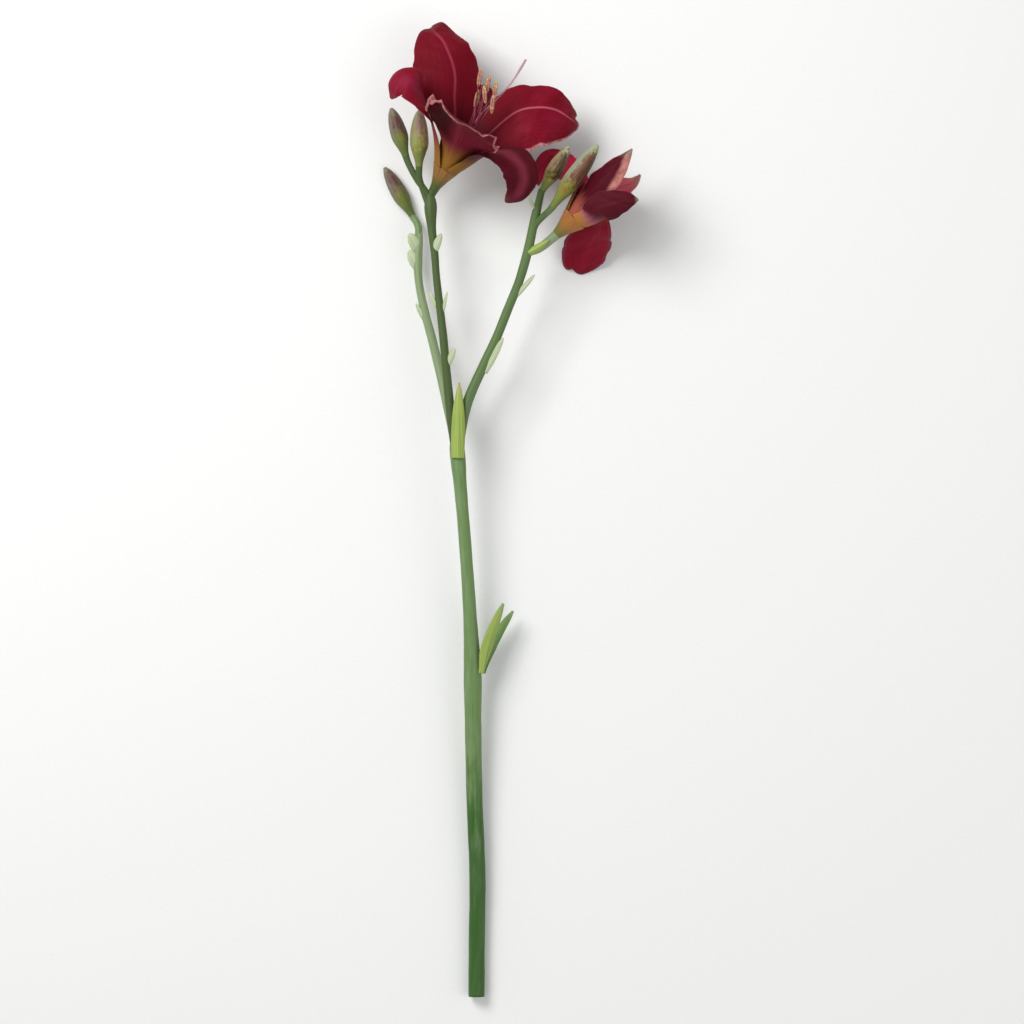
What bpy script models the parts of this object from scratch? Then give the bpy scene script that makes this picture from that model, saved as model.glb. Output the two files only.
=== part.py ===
"""A daylily flower as picked: one cut flowering stem with three branches, lying on a flat surface.

The stem carries an open top bloom, a half closed side bloom, five buds and the bracts at its forks.
x runs across the stem, y runs up the stem from the cut end and z is the height over the surface.
The lists below give places in millimetres from the middle of the cut end; place() turns them into
metres round the part's origin, which is on the surface under the middle of the whole part.
"""

import math

import bpy
import numpy as np

MM = 0.001
ORIGIN_ACROSS = 19.02
ORIGIN_ALONG = 259.82
SEAT_GAP = 0.3

STEM_SIDES = 12
BRANCH_SIDES = 8
TEPAL_THICKNESS = 0.7
BRACT_THICKNESS = 0.8

# The stem and its branches: x, y, z of the middle and the radius there.
STEM = [(0.0, 0.0, 4.2, 4.35), (0.1, 24.0, 4.2, 4.35), (0.5, 65.0, 5.6, 4.35), (-1.0, 105.0, 8.2, 4.35),
        (-1.8, 150.0, 12.0, 4.5), (-2.0, 172.0, 14.0, 4.8), (-2.9, 195.0, 16.2, 3.9),
        (-6.1, 245.0, 21.0, 3.3), (-8.6, 275.0, 23.6, 3.5), (-9.9, 290.0, 24.6, 4.1),
        (-11.0, 301.0, 25.0, 3.4)]
LEFT_BRANCH = [(-10.2, 290.0, 23.8, 2.2), (-14.2, 311.0, 20.4, 2.5), (-19.8, 336.0, 16.0, 2.4),
               (-24.0, 353.4, 13.6, 2.4), (-27.4, 366.0, 12.0, 2.3), (-31.0, 385.0, 9.8, 2.2),
               (-31.4, 397.0, 8.6, 2.5), (-30.8, 408.0, 7.6, 2.1), (-31.6, 414.5, 6.6, 1.9)]
MIDDLE_BRANCH = [(-10.6, 290.0, 25.0, 2.4), (-13.6, 312.0, 26.0, 2.5), (-16.0, 336.0, 26.4, 2.3),
                 (-17.6, 353.4, 26.6, 2.2), (-19.6, 371.0, 26.4, 2.1), (-21.2, 385.0, 26.0, 2.0),
                 (-22.2, 398.0, 25.6, 2.1), (-23.6, 410.0, 25.0, 2.3), (-24.3, 422.0, 24.4, 3.5),
                 (-24.2, 429.6, 24.0, 3.7)]
RIGHT_BRANCH = [(-9.6, 292.0, 25.0, 2.4), (-5.0, 317.0, 26.4, 2.7), (4.7, 339.4, 27.4, 2.6),
                (10.3, 351.3, 28.0, 2.5), (16.6, 367.0, 28.8, 2.4), (23.0, 383.0, 29.8, 2.4),
                (27.8, 400.0, 31.0, 2.5), (31.2, 416.0, 32.2, 2.3), (33.4, 425.0, 33.0, 2.1)]

# Buds: name, the pedicel's root, a bend point, the bud's base, its tip and its greatest radius.
BUDS = [
    ("bud_left_low", (-31.2, 412.5, 7.0), (-32.4, 415.6, 5.8), (-34.6, 419.0, 4.7),
     (-49.4, 444.8, 3.12), 4.3),
    ("bud_left_high", (-25.6, 428.0, 24.0), (-31.6, 437.0, 24.4), (-37.6, 449.6, 25.0),
     (-45.3, 474.8, 26.4), 4.4),
    ("bud_middle", (-28.6, 432.0, 24.2), (-30.4, 438.0, 25.6), (-30.4, 444.0, 27.0),
     (-30.2, 473.6, 30.0), 4.9),
    ("bud_right_low", (33.2, 424.0, 33.0), (33.9, 427.0, 33.6), (35.4, 431.0, 34.6),
     (49.2, 453.4, 38.4), 4.2),
    ("bud_right_high", (32.0, 412.8, 33.0), (36.0, 417.0, 35.8), (40.6, 421.6, 39.6),
     (64.6, 453.8, 46.8), 4.8)]
BUD_SIDES = 12
BUD_RINGS = 9
PEDICEL_END = 1.9

# Small bracts on the branches: root, tip, half width across and half thickness.
BRACTLETS = [((-27.4, 362.0, 12.4), (-32.4, 371.4, 13.4), 1.3, 0.5),
             ((-31.4, 400.0, 8.8), (-35.8, 409.0, 10.4), 2.4, 0.9),
             ((-31.6, 391.0, 9.4), (-36.0, 400.0, 9.6), 2.2, 1.0),
             ((-21.6, 369.0, 26.6), (-24.8, 377.0, 27.0), 1.2, 0.5),
             ((-18.4, 364.0, 26.8), (-15.4, 377.0, 27.4), 0.9, 0.5),
             ((-22.6, 398.0, 26.2), (-18.6, 408.0, 27.6), 2.0, 0.9),
             ((-15.4, 338.0, 27.0), (-11.4, 347.0, 28.0), 1.7, 0.7),
             ((21.2, 374.6, 29.6), (31.2, 386.0, 31.4), 1.3, 0.7),
             ((4.4, 334.0, 27.8), (14.4, 352.4, 29.6), 1.9, 0.9),
             ((31.4, 420.0, 32.8), (27.2, 427.6, 33.6), 0.9, 0.7)]

# Bracts that clasp the stem: root, tip, the way they face, half width and the arc they bend round.
BRACTS = [("fork_bract", [(-9.8, 288.4, 29.7), (-9.6, 300.0, 30.6), (-9.4, 314.0, 31.4), (-9.0, 328.6, 31.0)],
           (0.0, -0.1, -1.0), 3.7, 0.9),
          ("lower_bract_front",
           [(2.9, 173.6, 17.9), (5.0, 184.0, 19.6), (9.4, 198.0, 20.2), (14.4, 211.0, 19.6)],
           (-0.72, 0.2, -0.66), 3.5, 0.8),
          ("lower_bract_back",
           [(3.6, 173.8, 11.2), (6.8, 184.0, 10.4), (12.8, 196.0, 10.0), (19.6, 206.8, 10.4)],
           (-0.75, 0.3, 0.6), 3.0, 0.8)]

# The perianth tube: distance from its foot and radius, foot to rim, then down into the throat.
TUBE_WALL = [(0.0, 2.7), (2.5, 3.5), (5.0, 4.3), (8.0, 5.5), (10.6, 6.7), (13.0, 7.6)]
TUBE_THROAT = [(13.0, 4.8), (8.0, 3.8)]
TUBE_SIDES = 18
TUBE_LENGTH = TUBE_WALL[-1][0]
THROAT_FLOOR = TUBE_THROAT[-1][0]
PETAL_RING = 5.6
SEPAL_RING = 6.95
CLAW_LENGTH = 9.0
CLAW_LIFT = 0.15
CLAW_ROOM = 40.0
TIP_HALF_WIDTH = 0.9

STAMENS = 6
STAMEN_STEP = 60.0
FILAMENT_RADIUS = 0.5
FILAMENT_RING = 2.4
ANTHER_LENGTH = 10.0
ANTHER_RADIUS = 1.2
STYLE_RADIUS = 0.5


def place(points):
    """Turn millimetres from the cut end into metres round the part's origin."""
    moved = np.asarray(points, dtype=float) - np.array([ORIGIN_ACROSS, ORIGIN_ALONG, 0.0])
    return moved * MM


def unit(vectors):
    """Scale vectors, one or many in rows, to length one."""
    vectors = np.asarray(vectors, dtype=float)
    return vectors / np.linalg.norm(vectors, axis=-1, keepdims=True)


def smooth_step(x, start, end):
    """Rise from 0 at start to 1 at end with no kink at either."""
    t = np.clip((np.asarray(x, dtype=float) - start) / (end - start), 0.0, 1.0)
    return t * t * (3.0 - 2.0 * t)


def smooth_path(points, fractions):
    """Read a smooth curve through points at fractions of its length.

    The first three columns are a place; any others are carried along with it.
    """
    knots = np.asarray(points, dtype=float)
    steps = np.linalg.norm(np.diff(knots[:, :3], axis=0), axis=1)
    slopes = np.diff(knots, axis=0) / steps[:, None]
    tangents = np.empty_like(knots)
    tangents[0] = slopes[0]
    tangents[-1] = slopes[-1]
    before, after = steps[:-1, None], steps[1:, None]
    tangents[1:-1] = (slopes[:-1] * after + slopes[1:] * before) / (before + after)
    times = np.concatenate([[0.0], np.cumsum(steps)])
    dense = np.linspace(0.0, times[-1], 600)
    span = np.clip(np.searchsorted(times, dense, side="right") - 1, 0, len(steps) - 1)
    width = steps[span][:, None]
    t = (dense[:, None] - times[span][:, None]) / width
    rows = ((2 * t ** 3 - 3 * t ** 2 + 1) * knots[span] + (t ** 3 - 2 * t ** 2 + t) * width * tangents[span]
            + (3 * t ** 2 - 2 * t ** 3) * knots[span + 1] + (t ** 3 - t ** 2) * width * tangents[span + 1])
    run = np.concatenate([[0.0], np.cumsum(np.linalg.norm(np.diff(rows[:, :3], axis=0), axis=1))])
    wanted = np.asarray(fractions, dtype=float) * run[-1]
    return np.stack([np.interp(wanted, run, column) for column in rows.T], axis=1)


def tangents_of(path):
    """Unit tangents of a path given as rows of places."""
    return unit(np.gradient(path, axis=0))


def material(name, color, roughness):
    """Make a Principled material."""
    made = bpy.data.materials.new(name)
    made.use_nodes = True
    shader = made.node_tree.nodes["Principled BSDF"]
    shader.inputs["Base Color"].default_value = (*color, 1.0)
    shader.inputs["Roughness"].default_value = roughness
    made.diffuse_color = (*color, 1.0)
    return made


def mesh_object(name, vertices, faces, finish):
    """Put vertices (in millimetres) and faces into a new object."""
    mesh = bpy.data.meshes.new(name)
    mesh.from_pydata(place(vertices).tolist(), [], faces)
    mesh.update()
    mesh.shade_smooth()
    mesh.set_sharp_from_angle(angle=math.radians(40.0))
    made = bpy.data.objects.new(name, mesh)
    bpy.context.scene.collection.objects.link(made)
    made.data.materials.append(finish)
    return made


def ring_faces(rings, sides):
    """Faces of a closed tube made of rings of vertices, with a flat cap at each end."""
    faces = []
    for ring in range(rings - 1):
        for side in range(sides):
            a = ring * sides + side
            b = ring * sides + (side + 1) % sides
            faces.append((a, b, b + sides, a + sides))
    faces.append(tuple(reversed(range(sides))))
    faces.append(tuple(range((rings - 1) * sides, rings * sides)))
    return faces


def frames_of(path, reference):
    """Two unit vectors across a path: one near the reference, one square to it and to the path."""
    along = tangents_of(path)
    side = unit(np.cross(along, np.broadcast_to(reference, along.shape)))
    up = np.cross(side, along)
    return along, side, up


def round_shoot(name, path, radii, sides, finish, reference=(0.0, 0.0, 1.0), flat=1.0, ends=None):
    """A tapered round shoot along a path, with a facet towards the reference and away from it.

    flat squeezes it along the reference. ends, when given, are the unit vectors that its two caps face.
    """
    along, side, up = frames_of(path, np.asarray(reference, dtype=float))
    angles = (np.arange(sides) + 0.5) * 2.0 * math.pi / sides
    radii = np.asarray(radii, dtype=float)
    rings = (path[:, None, :]
             + radii[:, None, None] * np.cos(angles)[None, :, None] * flat * up[:, None, :]
             + radii[:, None, None] * np.sin(angles)[None, :, None] * side[:, None, :])
    if ends is not None:
        for row, normal in zip((0, -1), ends):
            normal = unit(normal)
            lean = (rings[row] - path[row]) @ normal
            rings[row] -= np.outer(lean / (along[row] @ normal), along[row])
    return mesh_object(name, rings.reshape(-1, 3), ring_faces(len(path), sides), finish)


def slab_object(name, surface, thickness, finish):
    """Give a grid of points a thickness and close it; both faces are split along the same diagonals."""
    across = np.gradient(surface, axis=1)
    along = np.gradient(surface, axis=0)
    normal = unit(np.cross(along, across))
    rows, columns = surface.shape[:2]
    half = 0.5 * thickness
    upper = (surface + half * normal).reshape(-1, 3)
    lower = (surface - half * normal).reshape(-1, 3)
    vertices = np.concatenate([upper, lower])
    count = rows * columns
    faces = []
    for i in range(rows - 1):
        for j in range(columns - 1):
            a, b = i * columns + j, i * columns + j + 1
            c, d = b + columns, a + columns
            faces += [(a, c, b), (a, d, c)]
            faces += [(a + count, b + count, c + count), (a + count, c + count, d + count)]
    border = ([(0, j) for j in range(columns - 1)] + [(i, columns - 1) for i in range(rows - 1)]
              + [(rows - 1, j) for j in range(columns - 1, 0, -1)] + [(i, 0) for i in range(rows - 1, 0, -1)])
    loop = [i * columns + j for i, j in border]
    for a, b in zip(loop, loop[1:] + loop[:1]):
        faces += [(a, b, b + count), (a, b + count, a + count)]
    return mesh_object(name, vertices, faces, finish)


def fuse(target, others):
    """Join closed bodies into the target with one Boolean union and remove them."""
    group = bpy.data.collections.new(target.name + "_parts")
    for other in others:
        bpy.context.scene.collection.objects.unlink(other)
        group.objects.link(other)
    bpy.context.scene.collection.children.link(group)
    join = target.modifiers.new("join", "BOOLEAN")
    join.operation = "UNION"
    join.operand_type = "COLLECTION"
    join.collection = group
    join.solver = "EXACT"
    bpy.context.view_layer.update()
    evaluated = target.evaluated_get(bpy.context.evaluated_depsgraph_get())
    joined = bpy.data.meshes.new_from_object(evaluated)
    target.modifiers.clear()
    target.data = joined
    for other in list(group.objects):
        bpy.data.objects.remove(other, do_unlink=True)
    bpy.data.collections.remove(group)
    return target


def spindle_radii(fractions, greatest, foot, tip):
    """Radii of a bud: it swells from a narrow foot, is widest just before the middle and ends bluntly."""
    rise = foot + (greatest - foot) * smooth_step(fractions, 0.0, 0.42)
    fall = (1.0 - np.clip((fractions - 0.4) / 0.6, 0.0, 1.0) ** 2.3) ** 0.62
    return np.maximum(rise * fall, tip)


def make_bud(name, base, tip, greatest, finish):
    """A closed bud of three valves: a spindle whose section swells three times round."""
    base = np.asarray(base)
    tip = np.asarray(tip)
    fractions = 0.5 - 0.5 * np.cos(np.linspace(0.0, math.pi, BUD_RINGS))
    along = unit(tip - base)
    up = unit(np.array([0.0, 0.0, 1.0]) - along[2] * along)
    side = np.cross(along, up)
    start = base + SEAT_GAP * along
    path = start + np.outer(fractions, tip - start)
    radii = spindle_radii(fractions, greatest, PEDICEL_END, 0.8)
    angles = (np.arange(BUD_SIDES) + 0.5) * 2.0 * math.pi / BUD_SIDES
    lobes = 1.0 + 0.07 * np.cos(3.0 * angles)[None, :] * np.sin(math.pi * fractions)[:, None]
    reach = radii[:, None] * lobes
    rings = (path[:, None, :] + (reach * np.cos(angles))[..., None] * up
             + (reach * np.sin(angles))[..., None] * side)
    return mesh_object(name, rings.reshape(-1, 3), ring_faces(BUD_RINGS, BUD_SIDES), finish)


def make_bractlet(name, root, tip, half_width, half_thickness, finish):
    """A small pointed bract, sunk in the branch at its root."""
    root = np.asarray(root)
    tip = np.asarray(tip)
    fractions = np.array([0.0, 0.3, 0.62, 0.86, 1.0])
    path = root + np.outer(fractions, tip - root)
    radii = half_width * np.array([0.9, 1.0, 0.85, 0.5, 0.2])
    return round_shoot(name, path, np.maximum(radii, 0.35), 6, finish, flat=half_thickness / half_width)


def make_bract(name, points, faces_towards, half_width, bend, finish):
    """A pointed bract: a blade bent round the stem at its root and flatter to its tip."""
    fractions = np.linspace(0.0, 1.0, 9)
    rib = smooth_path(points, fractions)
    along = tangents_of(rib)
    toward = np.broadcast_to(unit(faces_towards), along.shape)
    toward = unit(toward - np.sum(toward * along, axis=1, keepdims=True) * along)
    across = np.cross(along, toward)
    width = half_width * np.maximum((1.0 - fractions ** 2.6) ** 0.8, 0.14)
    turn = bend * (1.0 - 0.5 * fractions)
    v = np.linspace(-1.0, 1.0, 7)
    angle = turn[:, None] * v[None, :]
    sideways = width[:, None] * np.sin(angle) / turn[:, None]
    inward = width[:, None] * (1.0 - np.cos(angle)) / turn[:, None]
    surface = (rib[:, None, :] + sideways[..., None] * across[:, None, :]
               + inward[..., None] * toward[:, None, :])
    return slab_object(name, surface, BRACT_THICKNESS, finish)


class Bloom:
    """One bloom: where its tube starts, the way it faces, and what grows from it."""

    def __init__(self, name, foot, heading, tilt):
        """foot is the tube's lower end, heading its direction along the surface in degrees from +y
        towards +x, and tilt its rise from the surface in degrees."""
        self.name = name
        self.foot = np.asarray(foot, dtype=float)
        turn, rise = math.radians(heading), math.radians(tilt)
        flat = np.array([math.sin(turn), math.cos(turn), 0.0])
        self.axis = math.cos(rise) * flat + math.sin(rise) * np.array([0.0, 0.0, 1.0])
        self.front = math.cos(rise) * np.array([0.0, 0.0, 1.0]) - math.sin(rise) * flat
        self.right = np.cross(self.axis, self.front)
        self.rim = self.foot + TUBE_LENGTH * self.axis

    def outward(self, azimuth):
        """The unit vector away from the axis: azimuth 0 is the front, 90 the right."""
        turn = math.radians(azimuth)
        return math.cos(turn) * self.front + math.sin(turn) * self.right

    def tube(self, finish):
        """The perianth tube: a turned funnel with six faint ribs and an open throat."""
        profile = np.array(TUBE_WALL + TUBE_THROAT)
        angles = (np.arange(TUBE_SIDES) + 0.5) * 2.0 * math.pi / TUBE_SIDES
        ribs = 1.0 + 0.02 * np.cos(6.0 * angles)
        around = np.cos(angles)[:, None] * self.front + np.sin(angles)[:, None] * self.right
        rings = (self.foot + profile[:, 0][:, None, None] * self.axis
                 + profile[:, 1][:, None, None] * ribs[None, :, None] * around[None, :, :])
        faces = ring_faces(len(profile), TUBE_SIDES)
        return mesh_object(self.name + "_tube", rings.reshape(-1, 3), faces, finish)

    def tepal(self, spec, finish):
        """A petal or a sepal: a blade that wraps the throat at its claw, then opens along its midrib.

        Across, the blade is an arc whose half angle falls from spec["claw"], in degrees round the
        ring it stands on, to spec["cup"], in radians; its edges are moved in and out by waves that
        grow towards the tip.
        """
        grid = TEPAL_KINDS[spec["kind"]]
        out = self.outward(spec["azimuth"])
        ring = grid["ring"]
        flare = math.tan(math.radians(grid["flare"]))
        first = self.rim + (SEAT_GAP + CLAW_LIFT) * self.axis + ring * out
        second = self.rim + CLAW_LENGTH * self.axis + (ring + CLAW_LENGTH * flare) * out
        knots = [np.concatenate([first, -out]), np.concatenate([second, -out + 0.2 * self.axis])]
        for point, face in zip(spec["rib"], spec["faces"]):
            knots.append(np.concatenate([point, unit(face)]))
        u = 1.0 - (1.0 - np.linspace(0.0, 1.0, grid["rows"] + 1)) ** 1.25
        rows = smooth_path(knots, u)
        rib = rows[:, :3]
        along = tangents_of(rib)
        along[0] = unit(self.axis + flare * out)
        toward = rows[:, 3:6]
        toward = unit(toward - np.sum(toward * along, axis=1, keepdims=True) * along)
        across = np.cross(along, toward)
        rise = smooth_step(u, 0.0, grid["widest"]) ** 1.5
        past = np.clip((u - grid["widest"]) / (1.0 - grid["widest"]), 0.0, 1.0)
        fall = (1.0 - past ** grid["tip"]) ** grid["round"]
        half_angle = math.radians(spec["claw"])
        base_width = ring * half_angle
        width = (base_width + (spec["half_width"] - base_width) * rise) * np.maximum(fall, 0.0)
        offset = rib - self.rim
        offset = offset - np.outer(offset @ self.axis, self.axis)
        from_axis = np.maximum(np.linalg.norm(offset, axis=1), 1.0)
        room = from_axis + CLAW_ROOM * smooth_step(u, 0.25, 0.6)
        width = np.maximum(np.minimum(width, room), TIP_HALF_WIDTH)
        wrapped = np.minimum(width / from_axis, half_angle)
        free = smooth_step(u, 0.12, 0.5)
        turn = wrapped * (1.0 - free) + spec["cup"] * free
        turn = np.where(np.abs(turn) < 0.02, 0.02, turn)
        v = np.linspace(-1.0, 1.0, grid["columns"] + 1)
        angle = turn[:, None] * v[None, :]
        sideways = width[:, None] * np.sin(angle) / turn[:, None]
        inward = width[:, None] * (1.0 - np.cos(angle)) / turn[:, None]
        turns = spec["waves"] * u[:, None] + spec["phase"] + 0.5 * (v[None, :] > 0.0)
        wave = np.sin(2.0 * math.pi * turns)
        edge = np.abs(v[None, :]) ** 2.5 * smooth_step(u, 0.3, 0.75)[:, None]
        inward = inward + spec["ruffle"] * wave * edge * np.minimum(width / spec["half_width"], 1.0)[:, None]
        surface = (rib[:, None, :] + sideways[..., None] * across[:, None, :]
                   + inward[..., None] * toward[:, None, :])
        return slab_object(self.name + "_" + spec["name"], surface, TEPAL_THICKNESS, finish)

    def stamens(self, way, ends, finish):
        """Six filaments on a ring in the throat, each with a long anther across its tip."""
        floor = self.foot + (THROAT_FLOOR + SEAT_GAP) * self.axis
        sides = 2 * STAMENS
        angles = np.linspace(0.0, 2.0 * math.pi, sides + 1)[:-1]
        inner, outer, height = FILAMENT_RING - 0.9, FILAMENT_RING + 0.9, 1.2
        around = np.cos(angles)[:, None] * self.front + np.sin(angles)[:, None] * self.right
        profile = [(outer, 0.0), (outer, height), (inner, height), (inner, 0.0)]
        rings = np.stack([floor + radius * around + lift * self.axis for radius, lift in profile])
        faces = []
        for k in range(len(profile)):
            above = (k + 1) % len(profile)
            for side in range(sides):
                beside = (side + 1) % sides
                faces.append((k * sides + side, k * sides + beside,
                              above * sides + beside, above * sides + side))
        base = mesh_object(self.name + "_stamens", rings.reshape(-1, 3), faces, finish)
        pieces = []
        for index, end in enumerate(ends):
            out = self.outward(STAMEN_STEP * (index + 0.5))
            root = floor + 0.5 * height * self.axis + FILAMENT_RING * out
            low = self.rim + 3.0 * self.axis + 2.6 * out
            middle = [np.asarray(point) + spread * out for point, spread in zip(way, (2.6, 2.4))]
            path = smooth_path([root, low, *middle, end], np.linspace(0.0, 1.0, 11))
            pieces.append(round_shoot("filament", path, np.full(11, FILAMENT_RADIUS), 5, finish, self.right))
            along = unit(path[-1] - path[-2])
            lay = unit(0.45 * along + 0.9 * np.array([0.1 * (index - 2.5), 1.0, 0.25]))
            span = np.array([-0.5, -0.36, 0.0, 0.36, 0.5]) * ANTHER_LENGTH
            body = np.asarray(end) + np.outer(span, lay)
            radii = ANTHER_RADIUS * np.array([0.45, 0.9, 1.0, 0.9, 0.45])
            pieces.append(round_shoot("anther", body, radii, 6, finish, self.front))
        return fuse(base, pieces)

    def pistil(self, points, finish):
        """The style, from the throat's floor out past the anthers, with a small stigma."""
        foot = self.foot + (THROAT_FLOOR + SEAT_GAP) * self.axis
        path = smooth_path([foot, self.rim + 2.0 * self.axis, *points], np.linspace(0.0, 1.0, 19))
        radii = np.full(19, STYLE_RADIUS)
        radii[0] = 0.9
        radii[1] = 0.7
        radii[-2] = 0.75
        return round_shoot(self.name + "_pistil", path, radii, 6, finish, self.right)


TEPAL_KINDS = {
    "petal": {"ring": PETAL_RING, "flare": 19.0, "rows": 18, "columns": 8, "widest": 0.5, "tip": 2.3,
              "round": 0.55},
    "round_petal": {"ring": PETAL_RING, "flare": 19.0, "rows": 20, "columns": 8, "widest": 0.62, "tip": 2.8,
                    "round": 0.5},
    "closing_petal": {"ring": PETAL_RING, "flare": 19.0, "rows": 16, "columns": 8, "widest": 0.42, "tip": 1.7,
                      "round": 0.85},
    "sepal": {"ring": SEPAL_RING, "flare": 27.0, "rows": 14, "columns": 6, "widest": 0.5, "tip": 2.0,
              "round": 0.75},
    "spoon_sepal": {"ring": SEPAL_RING, "flare": 27.0, "rows": 16, "columns": 6, "widest": 0.7, "tip": 2.2,
                    "round": 0.7}}

TOP_TEPALS = [
    {"name": "petal_up", "kind": "petal", "azimuth": -120.0, "claw": 56.0, "half_width": 18.6, "cup": -0.45,
     "ruffle": 1.8, "waves": 3.6, "phase": 0.1,
     "rib": [(-11.6, 468.0, 34.2), (-14.2, 482.0, 37.4), (-16.0, 495.0, 36.5), (-20.2, 508.0, 31.0),
             (-24.2, 519.2, 22.0)],
     "faces": [(0.35, -0.3, 0.9), (0.2, -0.1, 1.0), (0.1, 0.1, 1.0), (-0.1, 0.4, 0.9), (-0.2, 0.75, 0.65)]},
    {"name": "petal_right", "kind": "petal", "azimuth": 120.0, "claw": 56.0, "half_width": 19.0, "cup": -0.3,
     "ruffle": 1.8, "waves": 3.4, "phase": 0.45,
     "rib": [(3.4, 456.8, 33.6), (15.4, 465.2, 36.5), (25.8, 469.8, 38.0), (37.0, 470.8, 36.5),
             (47.4, 469.0, 31.0), (54.2, 466.4, 24.0)],
     "faces": [(-0.4, 0.4, 0.8), (-0.2, 0.35, 0.9), (-0.1, 0.3, 0.95), (0.1, 0.25, 0.96), (0.4, 0.2, 0.9),
               (0.7, 0.1, 0.7)]},
    {"name": "petal_front", "kind": "petal", "azimuth": 0.0, "claw": 56.0, "half_width": 22.5, "cup": 0.2,
     "ruffle": 2.6, "waves": 4.2, "phase": 0.0,
     "rib": [(-9.4, 457.3, 60.0), (-7.9, 461.3, 73.0), (-7.7, 462.1, 85.0), (-8.9, 461.3, 95.0),
             (-10.9, 458.7, 101.0)],
     "faces": [(0.45, 0.8, 0.3), (0.56, 0.82, 0.1), (0.56, 0.83, 0.05), (0.55, 0.83, 0.15), (0.5, 0.7, 0.4)]},
    {"name": "sepal_left", "kind": "spoon_sepal", "azimuth": -61.0, "claw": 42.0, "half_width": 9.8,
     "cup": -0.35, "ruffle": 0.6, "waves": 2.5, "phase": 0.2,
     "rib": [(-24.7, 471.0, 49.1), (-29.2, 479.4, 55.6), (-35.2, 486.4, 59.0), (-41.0, 485.4, 57.0),
             (-44.8, 477.6, 52.6)],
     "faces": [(0.8, 0.5, 0.2), (0.6, 0.5, 0.55), (0.0, 0.4, 0.92), (-0.45, 0.3, 0.82), (-0.8, 0.0, 0.6)]},
    {"name": "sepal_low", "kind": "spoon_sepal", "azimuth": 60.0, "claw": 52.0, "half_width": 11.0,
     "cup": -0.4, "ruffle": 0.6, "waves": 2.5, "phase": 0.6,
     "rib": [(7.5, 449.7, 51.4), (16.6, 448.4, 56.2), (23.2, 442.6, 57.6), (25.2, 434.4, 56.0),
             (22.4, 427.6, 53.4), (15.6, 423.2, 50.6)],
     "faces": [(-0.05, 0.95, 0.22), (0.15, 0.7, 0.7), (0.6, 0.0, 0.8), (0.5, -0.4, 0.75), (0.3, -0.7, 0.65),
               (0.0, -0.8, 0.6)]},
    {"name": "sepal_back", "kind": "sepal", "azimuth": 180.0, "claw": 52.0, "half_width": 8.6, "cup": 0.3,
     "ruffle": 0.6, "waves": 2.5, "phase": 0.0,
     "rib": [(-5.0, 462.0, 24.0), (0.4, 472.0, 19.5), (3.6, 479.4, 15.0), (5.4, 485.4, 9.4), (6.0, 488.6, 4.0)],
     "faces": [(-0.2, -0.3, 0.9), (0.1, 0.2, 0.9), (0.3, 0.4, 0.85), (0.4, 0.6, 0.7), (0.4, 0.8, 0.4)]}]
TOP_STAMENS = [(4.6, 479.6, 54.0), (8.6, 474.6, 51.6), (10.0, 482.0, 50.6), (6.4, 485.4, 53.0),
               (1.9, 488.4, 53.0), (0.4, 477.6, 50.0)]
TOP_STAMEN_WAY = [(-4.0, 458.5, 41.0), (0.0, 466.5, 48.5)]
TOP_STYLE = [(-4.0, 458.5, 41.0), (1.1, 468.3, 44.0), (10.0, 477.0, 45.5), (19.0, 487.0, 46.5),
             (26.4, 498.7, 47.5)]

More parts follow.
